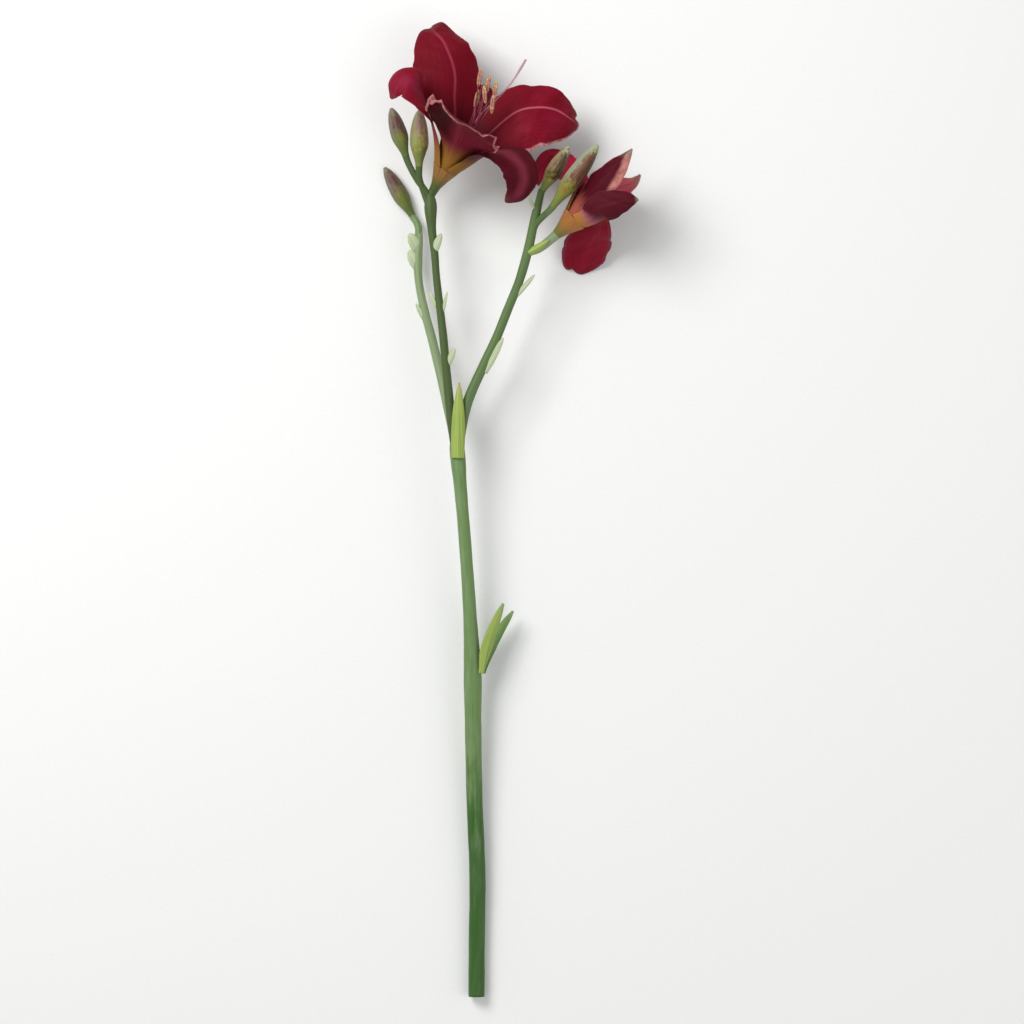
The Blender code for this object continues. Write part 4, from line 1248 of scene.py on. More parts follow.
@dataclass(frozen=True)
class Tepal:
    """A petal or sepal: where it stands, how broad it is, its waves and its midrib.

    azimuth turns it round the bloom, 0 at the front and 90 at the right; claw is half the angle its foot
    takes of the ring, in degrees; cup is half the arc it follows across, in radians. ruffle, waves and
    phase are its broad waves. crimp is the height of the small folds of its margin, fold_mm their length
    and fold_sizes how many sizes of them there are. wander is how far its outline strays in lobes
    stray_mm long, and buckle how far the blade bends in swellings buckle_mm long. rims are the widths
    of the pale rim on its margins below and above 0 across. lobes are the tip's: the place across, the
    breadth and the height of each. rib and faces are the places of the blade's middle line and the way
    the inner face looks there; lean is how far across the midrib strays from that line in the open
    blade, in half widths. ridge and furrow are the height and breadth of the midrib outside and of the
    groove that follows it inside. Lengths are in millimetres.
    """

    name: str
    habit: Habit
    azimuth: float
    claw: float
    half_width: float
    cup: float
    ruffle: float
    waves: float
    phase: float
    rib: Knots
    faces: Knots
    crimp: float = 0.3
    fold_sizes: int = 3
    # The pale rim is partly the margin's own paler edge and partly painted highlight on rolled margins.
    rims: tuple[float, float] = (0.35, 0.35)
    wander: float = 0.4
    lobes: tuple[Vec, ...] = ()
    lean: float = 0.0
    fold_mm: float = 6.0
    stray_mm: float = 14.0
    buckle: float = 0.28
    buckle_mm: float = 23.0
    ridge: tuple[float, float] = (0.34, 1.1)
    furrow: tuple[float, float] = (0.26, 0.7)

    @property
    def is_sepal(self) -> bool:
        """True for a sepal, whose claw stands on the outer ring."""
        return self.habit in (Habit.SEPAL, Habit.SPOON_SEPAL)


@dataclass
class Bloom:
    """One bloom: its tube, tepals, stamens and pistil.

    foot is the tube's lower end, heading its direction along the surface in degrees from +y towards +x,
    and tilt its rise from the surface in degrees. way holds the places that the filaments pass beyond
    the tube and ends where they end, or None in a closing bloom, where they end in a ring that lies
    closed_reach beyond the rim and is closed_spread in radius. style holds the style's places beyond the
    tube and spur the pedicel's first places. own_skins are the skins of the tepals that don't wear the
    usual one. wall and throat are the tube's outer and inner profile and collar the bead's that the
    filaments grow from, wall and throat as rows of lift and radius and collar of radius and lift. A
    claw is claw_length long; claw_room is how much broader than its distance from the axis a blade may
    be once it is free, and claw_sink how far the tube sinks from the sepals' claws to the petals'.
    stamen_step is the angle between two filaments in degrees. Lengths are in millimetres.
    """

    name: str
    foot: Vec
    heading: float
    tilt: float
    tepals: list[Tepal]
    way: Knots
    ends: Knots | None
    style: Knots
    spur: Knots
    tube_skin: TubeSkin
    petal_skin: TepalSkin
    sepal_skin: TepalSkin
    tone: Tone
    own_skins: dict[str, TepalSkin] = field(default_factory=dict)
    wall: Knots = ((0.0, 2.7), (2.5, 3.5), (5.0, 4.3), (8.0, 5.5), (10.6, 6.7), (13.0, 7.6))
    throat: Knots = ((13.0, 4.8), (8.0, 3.8))
    collar: Knots = ((0.2, 0.0), (2.4, 0.0), (3.2, 0.2), (3.3, 0.7), (3.0, 1.1), (2.4, 1.2), (1.6, 1.0),
                     (0.2, 0.9))
    stalk_radii: tuple[float, float] = (1.9, 2.7)
    claw_length: float = 9.0
    claw_room: float = 40.0
    claw_sink: float = 0.9
    least_half_width: float = 0.9
    thickness: float = 0.7
    stamen_step: float = 60.0
    filament_ring: float = 2.4
    filament_radii: tuple[float, ...] = (0.55, 0.52, 0.5, 0.48, 0.46, 0.44, 0.42, 0.38, 0.3)
    style_radii: tuple[float, ...] = (0.9, 0.68, 0.52, 0.5, 0.5, 0.48, 0.46, 0.46, 0.46, 0.46, 0.45, 0.45,
                                      0.46, 0.72, 0.6)
    closed_reach: float = 21.0
    closed_spread: float = 3.8
    anther_length: float = 10.0
    anther_radius: float = 1.2

    def __post_init__(self) -> None:
        """Work out the bloom's own directions and its rim."""
        turn, rise = math.radians(self.heading), math.radians(self.tilt)
        flat = np.array([math.sin(turn), math.cos(turn), 0.0])
        upright = np.array([0.0, 0.0, 1.0])
        self.start = np.asarray(self.foot, dtype=float)
        self.axis = math.cos(rise) * flat + math.sin(rise) * upright
        self.front = math.cos(rise) * upright - math.sin(rise) * flat
        self.right = np.cross(self.axis, self.front)
        self.rim = self.start + self.wall[-1][0] * self.axis
        self.floor = self.start + (self.throat[-1][0] + 0.3) * self.axis

    def outward(self, azimuth: float) -> Grid:
        """The unit vector away from the axis at an azimuth in degrees."""
        turn = math.radians(azimuth)
        return math.cos(turn) * self.front + math.sin(turn) * self.right

    def around(self, turn: Grid) -> Grid:
        """The unit vectors away from the axis at many angles in radians."""
        return np.cos(turn)[:, None] * self.front + np.sin(turn)[:, None] * self.right

    def pedicel(self) -> Shoot:
        """The short stalk under the bloom."""
        end = self.start - 0.3 * self.axis
        places = [*self.spur, tuple(end - 3.0 * self.axis), tuple(end)]
        return short_stalk(self.name + "_stalk", places, self.stalk_radii, self.tone, self.axis, 26)

    def between_sepals(self, azimuths: Grid) -> Grid:
        """How far an azimuth lies from the sepals' claws, in degrees; below 0 under a claw."""
        sepals = [tepal for tepal in self.tepals if tepal.is_sepal]
        apart = [np.abs((azimuths - sepal.azimuth + 180.0) % 360.0 - 180.0) - sepal.claw for sepal in sepals]
        return np.min(apart, axis=0)

    def tube_shell(self) -> Shell:
        """Turn the tube's wall, a rounded rim and the throat about the bloom's axis.

        The radius is raised six times round, once under each tepal. Between the sepals' claws it sinks
        by claw_sink to the petals' claws, so that the sepals' edges run on down the tube and fade at its
        foot. The rim is a quarter of a round bead.

        Returns:
            The closed tube.
        """
        wall = np.asarray(self.wall)
        lift = np.linspace(wall[0, 0] - 0.4, wall[-1, 0] - 0.15, 44)
        radius = np.interp(lift, wall[:, 0], wall[:, 1])
        radius = np.convolve(np.pad(radius, 4, mode="reflect", reflect_type="odd"), np.ones(9) / 9.0, "valid")
        bead = np.linspace(0.0, 0.5 * math.pi, 6)[1:]
        rim_lift = wall[-1, 0] - 0.15 + 0.3 * np.sin(bead)
        rim_radius = radius[-1] - 0.5 * (1.0 - np.cos(bead))
        throat_lift = np.linspace(self.throat[0][0] + 0.15, self.throat[1][0], 16)
        throat_radius = np.interp(throat_lift, (self.throat[1][0], self.throat[0][0]),
                                  (self.throat[1][1], self.throat[0][1]))
        lift = np.concatenate([lift, rim_lift, throat_lift])
        radius = np.concatenate([radius, rim_radius, throat_radius])
        sides = 96
        turn = turns_round(sides)
        share = np.clip(lift / wall[-1, 0], 0.0, 1.0)[:, None]
        sunk = self.claw_sink * smooth_step(self.between_sepals(np.degrees(turn)), -2.0, 2.0)
        worn = smooth_step(share, 0.25, 0.95)
        reach = radius[:, None] * (1.0 + 0.02 * np.cos(6.0 * turn) * worn) - sunk * worn
        rings = self.start + lift[:, None, None] * self.axis + reach[..., None] * self.around(turn)
        run = lift[:, None]
        return round_shell(rings, on_grid(reach.shape, turn / (2.0 * math.pi), run, run),
                           on_grid(reach.shape, share, share, share))

    def tepal_frame(self, tepal: Tepal, u: Grid) -> tuple[Grid, ...]:
        """Run a tepal's middle line from its claw on the tube's rim through its own places.

        The claw leaves the rim along the bloom's axis and leans out by the outline's flare.

        Args:
            tepal: the petal or sepal.
            u: shares of the line's length.

        Returns:
            The places and, at each, the unit vectors along the line, across the blade and inward.
        """
        form = tepal.habit.value
        out = self.outward(tepal.azimuth)
        flare = math.tan(math.radians(form.flare))
        first = self.rim - 0.2 * self.axis + form.ring * out
        second = self.rim + self.claw_length * self.axis + (form.ring + self.claw_length * flare) * out
        knots = [np.concatenate([first, -out]), np.concatenate([second, -out + 0.2 * self.axis])]
        knots += [np.concatenate([place, unit(face)]) for place, face in zip(tepal.rib, tepal.faces)]
        path = smooth_path(knots, u)
        rib = path[:, :3]
        along = unit(np.gradient(rib, axis=0))
        along[0] = unit(self.axis + flare * out)
        return rib, along, *across_and_inward(along, unit(path[:, 3:6]))

    def tepal_width(self, tepal: Tepal, u: Grid, rib: Grid) -> tuple[Grid, Grid]:
        """Work out a tepal's half width and its arc.

        The half width grows from the claw's by a smooth step raised to 1.5 and falls past the widest
        place as (1 - t^tip)^fullness; near the tube it stays within its distance from the bloom's axis.
        The arc's half angle goes from the ring's at the claw to the cup.

        Args:
            tepal: the petal or sepal.
            u: shares of the length from claw to tip.
            rib: the places of its middle line.

        Returns:
            The half width and the arc's half angle in radians at each share.
        """
        form = tepal.habit.value
        half_angle = math.radians(tepal.claw)
        base = form.ring * half_angle
        rise = smooth_step(u, 0.0, form.widest) ** 1.5
        past = np.clip((u - form.widest) / (1.0 - form.widest), 0.0, 1.0)
        width = (base + (tepal.half_width - base) * rise) * (1.0 - past ** form.tip) ** form.fullness
        offset = rib - self.rim
        offset = offset - np.outer(offset @ self.axis, self.axis)
        from_axis = np.maximum(np.linalg.norm(offset, axis=1), 1.0)
        width = np.minimum(width, from_axis + self.claw_room * smooth_step(u, 0.25, 0.6))
        width = np.maximum(width, self.least_half_width * (1.0 - 0.5 * smooth_step(u, 0.97, 1.0)))
        free = smooth_step(u, 0.12, 0.5)
        bend = np.minimum(width / from_axis, half_angle) * (1.0 - free) + tepal.cup * free
        return width, np.where(np.abs(bend) < 0.02, 0.02, bend)

    def tepal_shell(self, tepal: Tepal, seed: int) -> Shell:
        """Lay an arc across the tepal's middle line at each of its rows, then wave and crimp its margins.

        u runs from claw to tip and v from -1 to 1 across. Broad waves move the margin inward by ruffle
        times |v|^2.5, folds by crimp times |v|^7, and the outline wanders to the side by |v|^3. Each lobe
        of the tip moves it forward by height times exp(-((x - place) / breadth)^2), x being the distance
        from the middle line. A furrow follows the midrib inside and a ridge outside.

        Args:
            tepal: the petal or sepal.
            seed: which set of small irregularities.

        Returns:
            The closed blade.
        """
        rows, columns = 150, 64
        u_row = 1.0 - (1.0 - np.linspace(0.0, 1.0, rows + 1)) ** 1.25
        v = np.linspace(-1.0, 1.0, columns + 1)
        v = np.sign(v) * (1.0 - (1.0 - np.abs(v)) ** 1.2)
        rib, along, across, toward = self.tepal_frame(tepal, u_row)
        width, bend = self.tepal_width(tepal, u_row, rib)
        sideways, inward = arc_across(width, bend, v)
        u, run, width = u_row[:, None], length_along(rib)[:, None], width[:, None]

        size = np.minimum(width / tepal.half_width, 1.0)
        opened = smooth_step(u, 0.3, 0.75)
        waves = np.sin(2.0 * math.pi * (tepal.waves * u + tepal.phase + 0.5 * (v > 0.0)))
        inward = inward + tepal.ruffle * waves * np.abs(v) ** 2.5 * opened * size
        folds = [ripple(run / tepal.fold_mm, seed + shift, tepal.fold_sizes) for shift in (0, 50)]
        waned = smooth_step(u, 0.22, 0.45) * size
        inward = inward + tepal.crimp * np.where(v < 0.0, *folds) * np.abs(v) ** 7 * waned
        strays = [ripple(run / tepal.stray_mm, seed + shift, 2) for shift in (7, 60)]
        sideways = sideways + tepal.wander * np.where(v < 0.0, *strays) * np.sign(v) * np.abs(v) ** 3 * waned
        inward = inward + tepal.buckle * ripple(run / tepal.buckle_mm + 0.6 * v, seed + 90) * opened
        forward = sum((height * np.exp(-((sideways - place) / breadth) ** 2)
                       for place, breadth, height in tepal.lobes), np.zeros_like(sideways))
        forward = forward * smooth_step(u, 0.72, 0.97)
        surface = sections(rib, across, toward, sideways, inward) + forward[..., None] * along[:, None, :]

        midrib = tepal.lean * smooth_step(u, 0.25, 0.6) * (1.0 - smooth_step(u, 0.8, 1.0))
        aside = v - midrib
        ridge, furrow = [height * np.exp(-(aside * width / breadth) ** 2) * smooth_step(u, *grown)
                         for (height, breadth), grown in ((tepal.ridge, (0.05, 0.25)),
                                                          (tepal.furrow, (0.1, 0.3)))]
        body = 0.5 * self.thickness * (1.0 - 0.6 * np.abs(v) ** 4) * np.ones_like(u)
        taper = 1.0 - 0.6 * smooth_step(u, 0.9, 1.0)
        half = 1.0 - midrib * np.sign(aside)
        across_value, half_width = aside / half, width * half
        margin = np.minimum(half_width * (1.0 - np.abs(across_value)), run[-1] - run)
        margin = margin / np.where(aside < 0.0, *tepal.rims)
        return blade_shell(surface, body + ridge * taper, body - furrow * taper,
                           on_grid(body.shape, across_value, run, run),
                           on_grid(body.shape, u, margin, half_width))

    def thread(self, points: Knots, radius: Sequence[float], sides: int = 12) -> Shell:
        """Sweep a thin round thread through points.

        A ring's point is the path's point plus the radius times cos(turn) and sin(turn) along two unit
        vectors square to the path.

        Args:
            points: the places it runs through.
            radius: its radius at evenly spaced places from start to end.
            sides: how many sides a ring has.

        Returns:
            The closed thread; shape holds the share of its length.
        """
        rows = 70
        t = np.linspace(0.0, 1.0, rows)
        path = smooth_path(points, t)
        along = unit(np.gradient(path, axis=0))
        side, up = square_to(along, self.right)
        turn = turns_round(sides)
        size = np.interp(t, np.linspace(0.0, 1.0, len(radius)), radius)[:, None]
        rings = sections(path, up, side, size * np.cos(turn), size * np.sin(turn))
        share = np.broadcast_to(t[:, None, None], rings.shape)
        return round_shell(rings, share, share)

    def anther_ends(self) -> list[Grid]:
        """Where the six filaments end: the given places, or a ring of them in a closing bloom."""
        if self.ends is not None:
            return [np.asarray(end, dtype=float) for end in self.ends]
        middle = self.rim + self.closed_reach * self.axis
        return [middle + self.closed_spread * self.outward(self.stamen_step * (k + 0.5)) for k in range(6)]

    def filament_points(self, index: int, end: Grid) -> list[Grid]:
        """The places one filament runs through, from the throat's floor to its anther."""
        out = self.outward(self.stamen_step * (index + 0.5))
        middle = [np.asarray(place) + spread * out for place, spread in zip(self.way, (2.6, 2.4))]
        return [self.floor + 0.6 * self.axis + self.filament_ring * out,
                self.rim + 3.0 * self.axis + 2.6 * out, *middle, end]

    def collar_shell(self) -> Shell:
        """The low ring in the throat that the filaments grow from: a turned rounded bead."""
        radius, lift = np.array(self.collar).T
        rings = (self.floor + lift[:, None, None] * self.axis
                 + radius[:, None, None] * self.around(turns_round(36)))
        return round_shell(rings, np.zeros_like(rings), np.zeros_like(rings))

    def anther_shell(self, index: int, end: Grid) -> Shell:
        """One anther: two swollen halves with a furrow between them, bowed over the filament's end.

        It lies between its filament's direction and the stem's, turned a little to its own side. The
        section's height is the anther's times 1 - 0.4 exp(-(x / 0.3)^2) over its furrow, x being the
        share of the width; it narrows to both ends as (1 - |s|^2.6)^0.6, s running from -1 to 1.

        Args:
            index: which of the six.
            end: where the filament ends.

        Returns:
            The closed anther; skin is 0 in the furrow and 1 on its back, shape 0 in the middle of its
            length and 1 at both ends.
        """
        points = self.filament_points(index, end)
        tail = smooth_path(points, np.linspace(0.0, 1.0, 11))
        along = unit(tail[-1] - tail[-2])
        lay = unit(0.45 * along + 0.9 * np.array([0.1 * (index - 2.5), 1.0, 0.25]))
        side, up = square_to(lay, self.front)
        s = np.sin(np.linspace(-0.5 * math.pi, 0.5 * math.pi, 42))[:, None]
        size = np.maximum((1.0 - np.abs(s) ** 2.6) ** 0.6, 0.12) * (1.0 + 0.05 * ripple(s * 3.0, index))
        turn = turns_round(28)
        x = np.sin(turn)
        furrow = np.exp(-(x / 0.3) ** 2) * (np.cos(turn) > 0.0)
        reach_side = self.anther_radius * size * x
        reach_up = 0.82 * self.anther_radius * size * np.cos(turn) * (1.0 - 0.4 * furrow)
        centre = end + 0.5 * self.anther_length * s * lay - 0.5 * s ** 2 * up
        rings = sections(centre, up, side, reach_up, reach_side)
        back, place = 1.0 - furrow, np.abs(s)
        return round_shell(rings, on_grid(reach_side.shape, back, back, back),
                           on_grid(reach_side.shape, place, place, place))

    def pistil_shell(self) -> Shell:
        """The style as one thread that widens to a small blunt stigma."""
        points = [self.floor - 0.1 * self.axis, self.rim + 2.0 * self.axis, *self.style]
        return self.thread(points, self.style_radii, 16)

    def build(self) -> Iterator[Piece]:
        """Make the bloom's pieces.

        Yields:
            Each piece.
        """
        yield make_piece(self.name + "_funnel", [self.tube_shell()], [self.tube_skin.build()],
                         self.name + "_tube")
        for seed, tepal in enumerate(self.tepals):
            usual = self.sepal_skin if tepal.is_sepal else self.petal_skin
            velvet = self.own_skins.get(tepal.name, usual).build()
            yield make_piece(f"{self.name}_{tepal.name}_blade", [self.tepal_shell(tepal, 11 * seed + 3)],
                             [velvet], f"{self.name}_{tepal.name}")
        ends = self.anther_ends()
        threads = [self.thread(self.filament_points(k, end), self.filament_radii)
                   for k, end in enumerate(ends)]
        rose = FilamentSkin(self.name + "_filament_skin", foot="#A8485C", end="#7A1E34").build()
        yield make_piece(self.name + "_filaments", [self.collar_shell(), *threads], [rose],
                         self.name + "_stamens")
        anthers = [self.anther_shell(k, end) for k, end in enumerate(ends)]
        pollen = PollenSkin(self.name + "_pollen").build()
        yield make_piece(self.name + "_anthers", anthers, [pollen], self.name + "_stamens")
        style = FilamentSkin(self.name + "_style_skin", foot="#96304A", end="#B08890").build()
        yield make_piece(self.name + "_style", [self.pistil_shell()], [style],
                         self.name + "_pistil")


# This plant's own buds and blooms.


def the_buds() -> list[Bud]:
    """The five buds, three on the left and two on the right."""
    # Each skin's sunny and shady colours are painted light and shade on the buds' left and right flanks.
    left = BudSkin("left_bud_skin", foot="#59672A", glow="#7C7E38", flush="#5E3A38", tip="#7E7466",
                   seam="#56662E", painted_light_flank="#70685A", painted_shade_flank="#5C3436", flush_from=0.42)
    middle = BudSkin("middle_bud_skin", foot="#667034", glow="#A09C48", flush="#8C6C60", tip="#A89488",
                     seam="#6E7A3C", painted_light_flank="#929260", painted_shade_flank="#C09A72", flush_from=0.48)
    right = BudSkin("right_bud_skin", foot="#98A048", glow="#80581F", flush="#523410", tip="#C0CCAC",
                    seam="#7E8842", painted_light_flank="#8C7446", painted_shade_flank="#48201A", flush_from=0.2)
    upright = BudSkin("high_bud_skin", foot="#7C8830", glow="#90602A", flush="#68301A", tip="#9EAC88",
                      seam="#6C7A38", painted_light_flank="#9AA48E", painted_shade_flank="#501A20", flush_from=0.3)
    return [
        Bud("bud_left_low",
            stalk=[(-31.3, 405.0, 7.9), (-31.2, 412.5, 7.0), (-32.4, 415.6, 5.8)], base=(-34.6, 419.0, 4.7),
            tip=(-49.4, 444.8, 3.12), radius=4.3, skin=left, tone=Tone.GREY, stalk_radius=2.0),
        Bud("bud_left_high",
            stalk=[(-24.6, 419.0, 24.6), (-25.6, 428.0, 24.0), (-31.6, 437.0, 24.4)],
            base=(-37.6, 449.6, 25.0), tip=(-45.3, 474.8, 26.4), radius=4.4, skin=left, tone=Tone.DARK),
        Bud("bud_middle",
            stalk=[(-25.6, 423.0, 24.4), (-28.6, 432.0, 24.2), (-30.4, 438.0, 25.6)],
            base=(-30.4, 444.0, 27.0), tip=(-30.2, 473.6, 30.0), radius=4.9, skin=middle, tone=Tone.DARK),
        Bud("bud_right_low",
            stalk=[(31.8, 416.5, 32.4), (33.2, 424.0, 33.0), (33.9, 427.0, 33.6)], base=(35.4, 431.0, 34.6),
            tip=(49.2, 453.4, 38.4), radius=4.2, skin=right, tone=Tone.LEAFY, stalk_radius=2.1),
        Bud("bud_right_high",
            stalk=[(29.4, 406.0, 31.4), (32.0, 412.8, 33.0), (36.0, 417.0, 35.8)], base=(40.6, 421.6, 39.6),
            tip=(64.6, 453.8, 46.8), radius=4.8, skin=upright, tone=Tone.LEAFY)]


def the_top_bloom() -> Bloom:
    """The open bloom at the top of the middle branch."""
    tepals = [
        Tepal("petal_up", Habit.PETAL, azimuth=-120.0, claw=56.0, half_width=18.6, cup=-0.45, ruffle=1.8,
              waves=3.6, phase=0.1,
              rib=[(-11.6, 468.0, 34.2), (-14.2, 482.0, 37.4), (-16.0, 495.0, 36.5), (-20.2, 508.0, 31.0),
                   (-24.2, 519.2, 22.0)],
              faces=[(0.35, -0.3, 0.9), (0.2, -0.1, 1.0), (0.1, 0.1, 1.0), (-0.1, 0.4, 0.9),
                     (-0.2, 0.75, 0.65)], wander=0.6,
              lobes=((7.0, 3.6, 3.6), (-1.0, 2.0, -2.2), (-7.0, 3.6, 2.4)), lean=0.22),
        Tepal("petal_right", Habit.PETAL, azimuth=120.0, claw=56.0, half_width=19.0, cup=-0.3, ruffle=1.8,
              waves=3.4, phase=0.45,
              rib=[(3.4, 456.8, 33.6), (15.4, 465.2, 36.5), (25.8, 469.8, 38.0), (37.0, 470.8, 36.5),
                   (47.4, 469.0, 31.0), (54.2, 466.4, 24.0)],
              faces=[(-0.4, 0.4, 0.8), (-0.2, 0.35, 0.9), (-0.1, 0.3, 0.95), (0.1, 0.25, 0.96),
                     (0.4, 0.2, 0.9), (0.7, 0.1, 0.7)], wander=0.5, rims=(0.35, 2.0),
              lobes=((-7.0, 3.4, 2.2), (-2.4, 1.7, -2.2), (2.0, 2.4, 1.0)), lean=-0.2),
        Tepal("petal_front", Habit.PETAL, azimuth=0.0, claw=56.0, half_width=22.5, cup=0.2, ruffle=2.6,
              waves=4.2, phase=0.0,
              rib=[(-9.4, 457.3, 60.0), (-7.9, 461.3, 73.0), (-7.7, 462.6, 85.0), (-8.7, 463.2, 95.0),
                   (-10.2, 461.9, 101.0)],
              faces=[(0.45, 0.8, 0.3), (0.56, 0.82, 0.1), (0.56, 0.83, 0.05), (0.55, 0.83, 0.15),
                     (0.5, 0.7, 0.4)], crimp=1.3, fold_sizes=1, rims=(2.2, 3.2), wander=0.6),
        Tepal("sepal_left", Habit.SPOON_SEPAL, azimuth=-61.0, claw=42.0, half_width=9.8, cup=-0.35,
              ruffle=0.6, waves=2.5, phase=0.2,
              rib=[(-24.7, 471.0, 49.1), (-29.2, 479.4, 55.6), (-35.2, 486.4, 59.0), (-41.0, 485.4, 57.0),
                   (-44.8, 477.6, 52.6)],
              faces=[(0.8, 0.5, 0.2), (0.6, 0.5, 0.55), (0.0, 0.4, 0.92), (-0.45, 0.3, 0.82),
                     (-0.8, 0.0, 0.6)], crimp=0.15),
        Tepal("sepal_low", Habit.SPOON_SEPAL, azimuth=60.0, claw=52.0, half_width=11.0, cup=-0.4,
              ruffle=0.6, waves=2.5, phase=0.6,
              rib=[(7.5, 449.7, 51.4), (16.6, 448.4, 56.2), (23.2, 442.6, 57.6), (25.2, 434.4, 56.0),
                   (22.4, 427.6, 53.4), (15.6, 423.2, 50.6)],
              faces=[(-0.05, 0.95, 0.22), (0.15, 0.7, 0.7), (0.6, 0.0, 0.8), (0.5, -0.4, 0.75),
                     (0.3, -0.7, 0.65), (0.0, -0.8, 0.6)], crimp=0.15),
        Tepal("sepal_back", Habit.SEPAL, azimuth=180.0, claw=52.0, half_width=8.6, cup=0.3, ruffle=0.6,
              waves=2.5, phase=0.0,
              rib=[(-5.0, 462.0, 24.0), (0.4, 472.0, 19.5), (3.6, 479.4, 15.0), (5.4, 485.4, 9.4),
                   (6.0, 488.6, 4.0)],
              faces=[(-0.2, -0.3, 0.9), (0.1, 0.2, 0.9), (0.3, 0.4, 0.85), (0.4, 0.6, 0.7),
                     (0.4, 0.8, 0.4)], crimp=0.15)]
    skins = {
        "petal_up": TepalSkin("upper_petal_velvet", flesh="#680416", glow="#70081C", shade="#4A040E",
                              eye_and_shade="#380309", midrib="#98364C", rib=0.7),
        # The front petal's outer face has painted shade on one half.
        "petal_front": TepalSkin("front_petal_velvet", flesh="#5E0416", glow="#68081C", midrib="#7E2438",
                                 back="#70182A", back_vein="#5C1020", back_rib="#7C2A3A", rim="#C07C7A",
                                 eye_and_shade="#340106", painted_shade=0.95, sheen=0.0, gloss=0.02),
        "petal_right": TepalSkin("right_petal_velvet", midrib="#B05062", rib=0.95, rib_mm=0.9),
        "sepal_left": TepalSkin("left_sepal_velvet", flesh="#78081E", glow="#841430", shade="#640818",
                                midrib="#82203A", rib=0.5, rib_mm=4.0, veins=7.0, rim="#8A3A48"),
        # Low sepal: darker velvet as painted shade; broad pale midline partly midrib, partly painted
        # highlight.
        "sepal_low": TepalSkin("low_sepal_velvet", flesh="#500A18", glow="#5A0E1C", shade="#3C0610",
                               midrib="#7E2C3E", rib=0.8, rib_mm=5.0, veins=7.0, rim="#5A2A30",
                               back="#4A0C18", back_vein="#340810")}
    return Bloom("top_bloom", foot=(-21.6, 433.2, 24.5), heading=30.0, tilt=25.0, tepals=tepals,
                 way=[(-4.0, 458.5, 41.0), (0.0, 466.5, 48.5)],
                 ends=[(4.6, 479.6, 54.0), (8.6, 474.6, 51.6), (10.0, 482.0, 50.6), (6.4, 485.4, 53.0),
                       (1.9, 488.4, 53.0), (0.4, 477.6, 50.0)],
                 style=[(-4.0, 458.5, 41.0), (1.1, 468.3, 44.0), (10.0, 477.0, 45.5), (19.0, 487.0, 46.5),
                        (26.4, 498.7, 47.5)],
                 spur=[(-24.0, 418.0, 24.8), (-25.0, 427.0, 24.2)],
                 tube_skin=TubeSkin("top_tube_skin", foot="#4E5A24", rim="#8C6228", streak="#6E3A26"),
                 petal_skin=TepalSkin("top_petal_velvet"),
                 sepal_skin=TepalSkin("top_sepal_velvet", veins=7.0), tone=Tone.DARK, own_skins=skins)


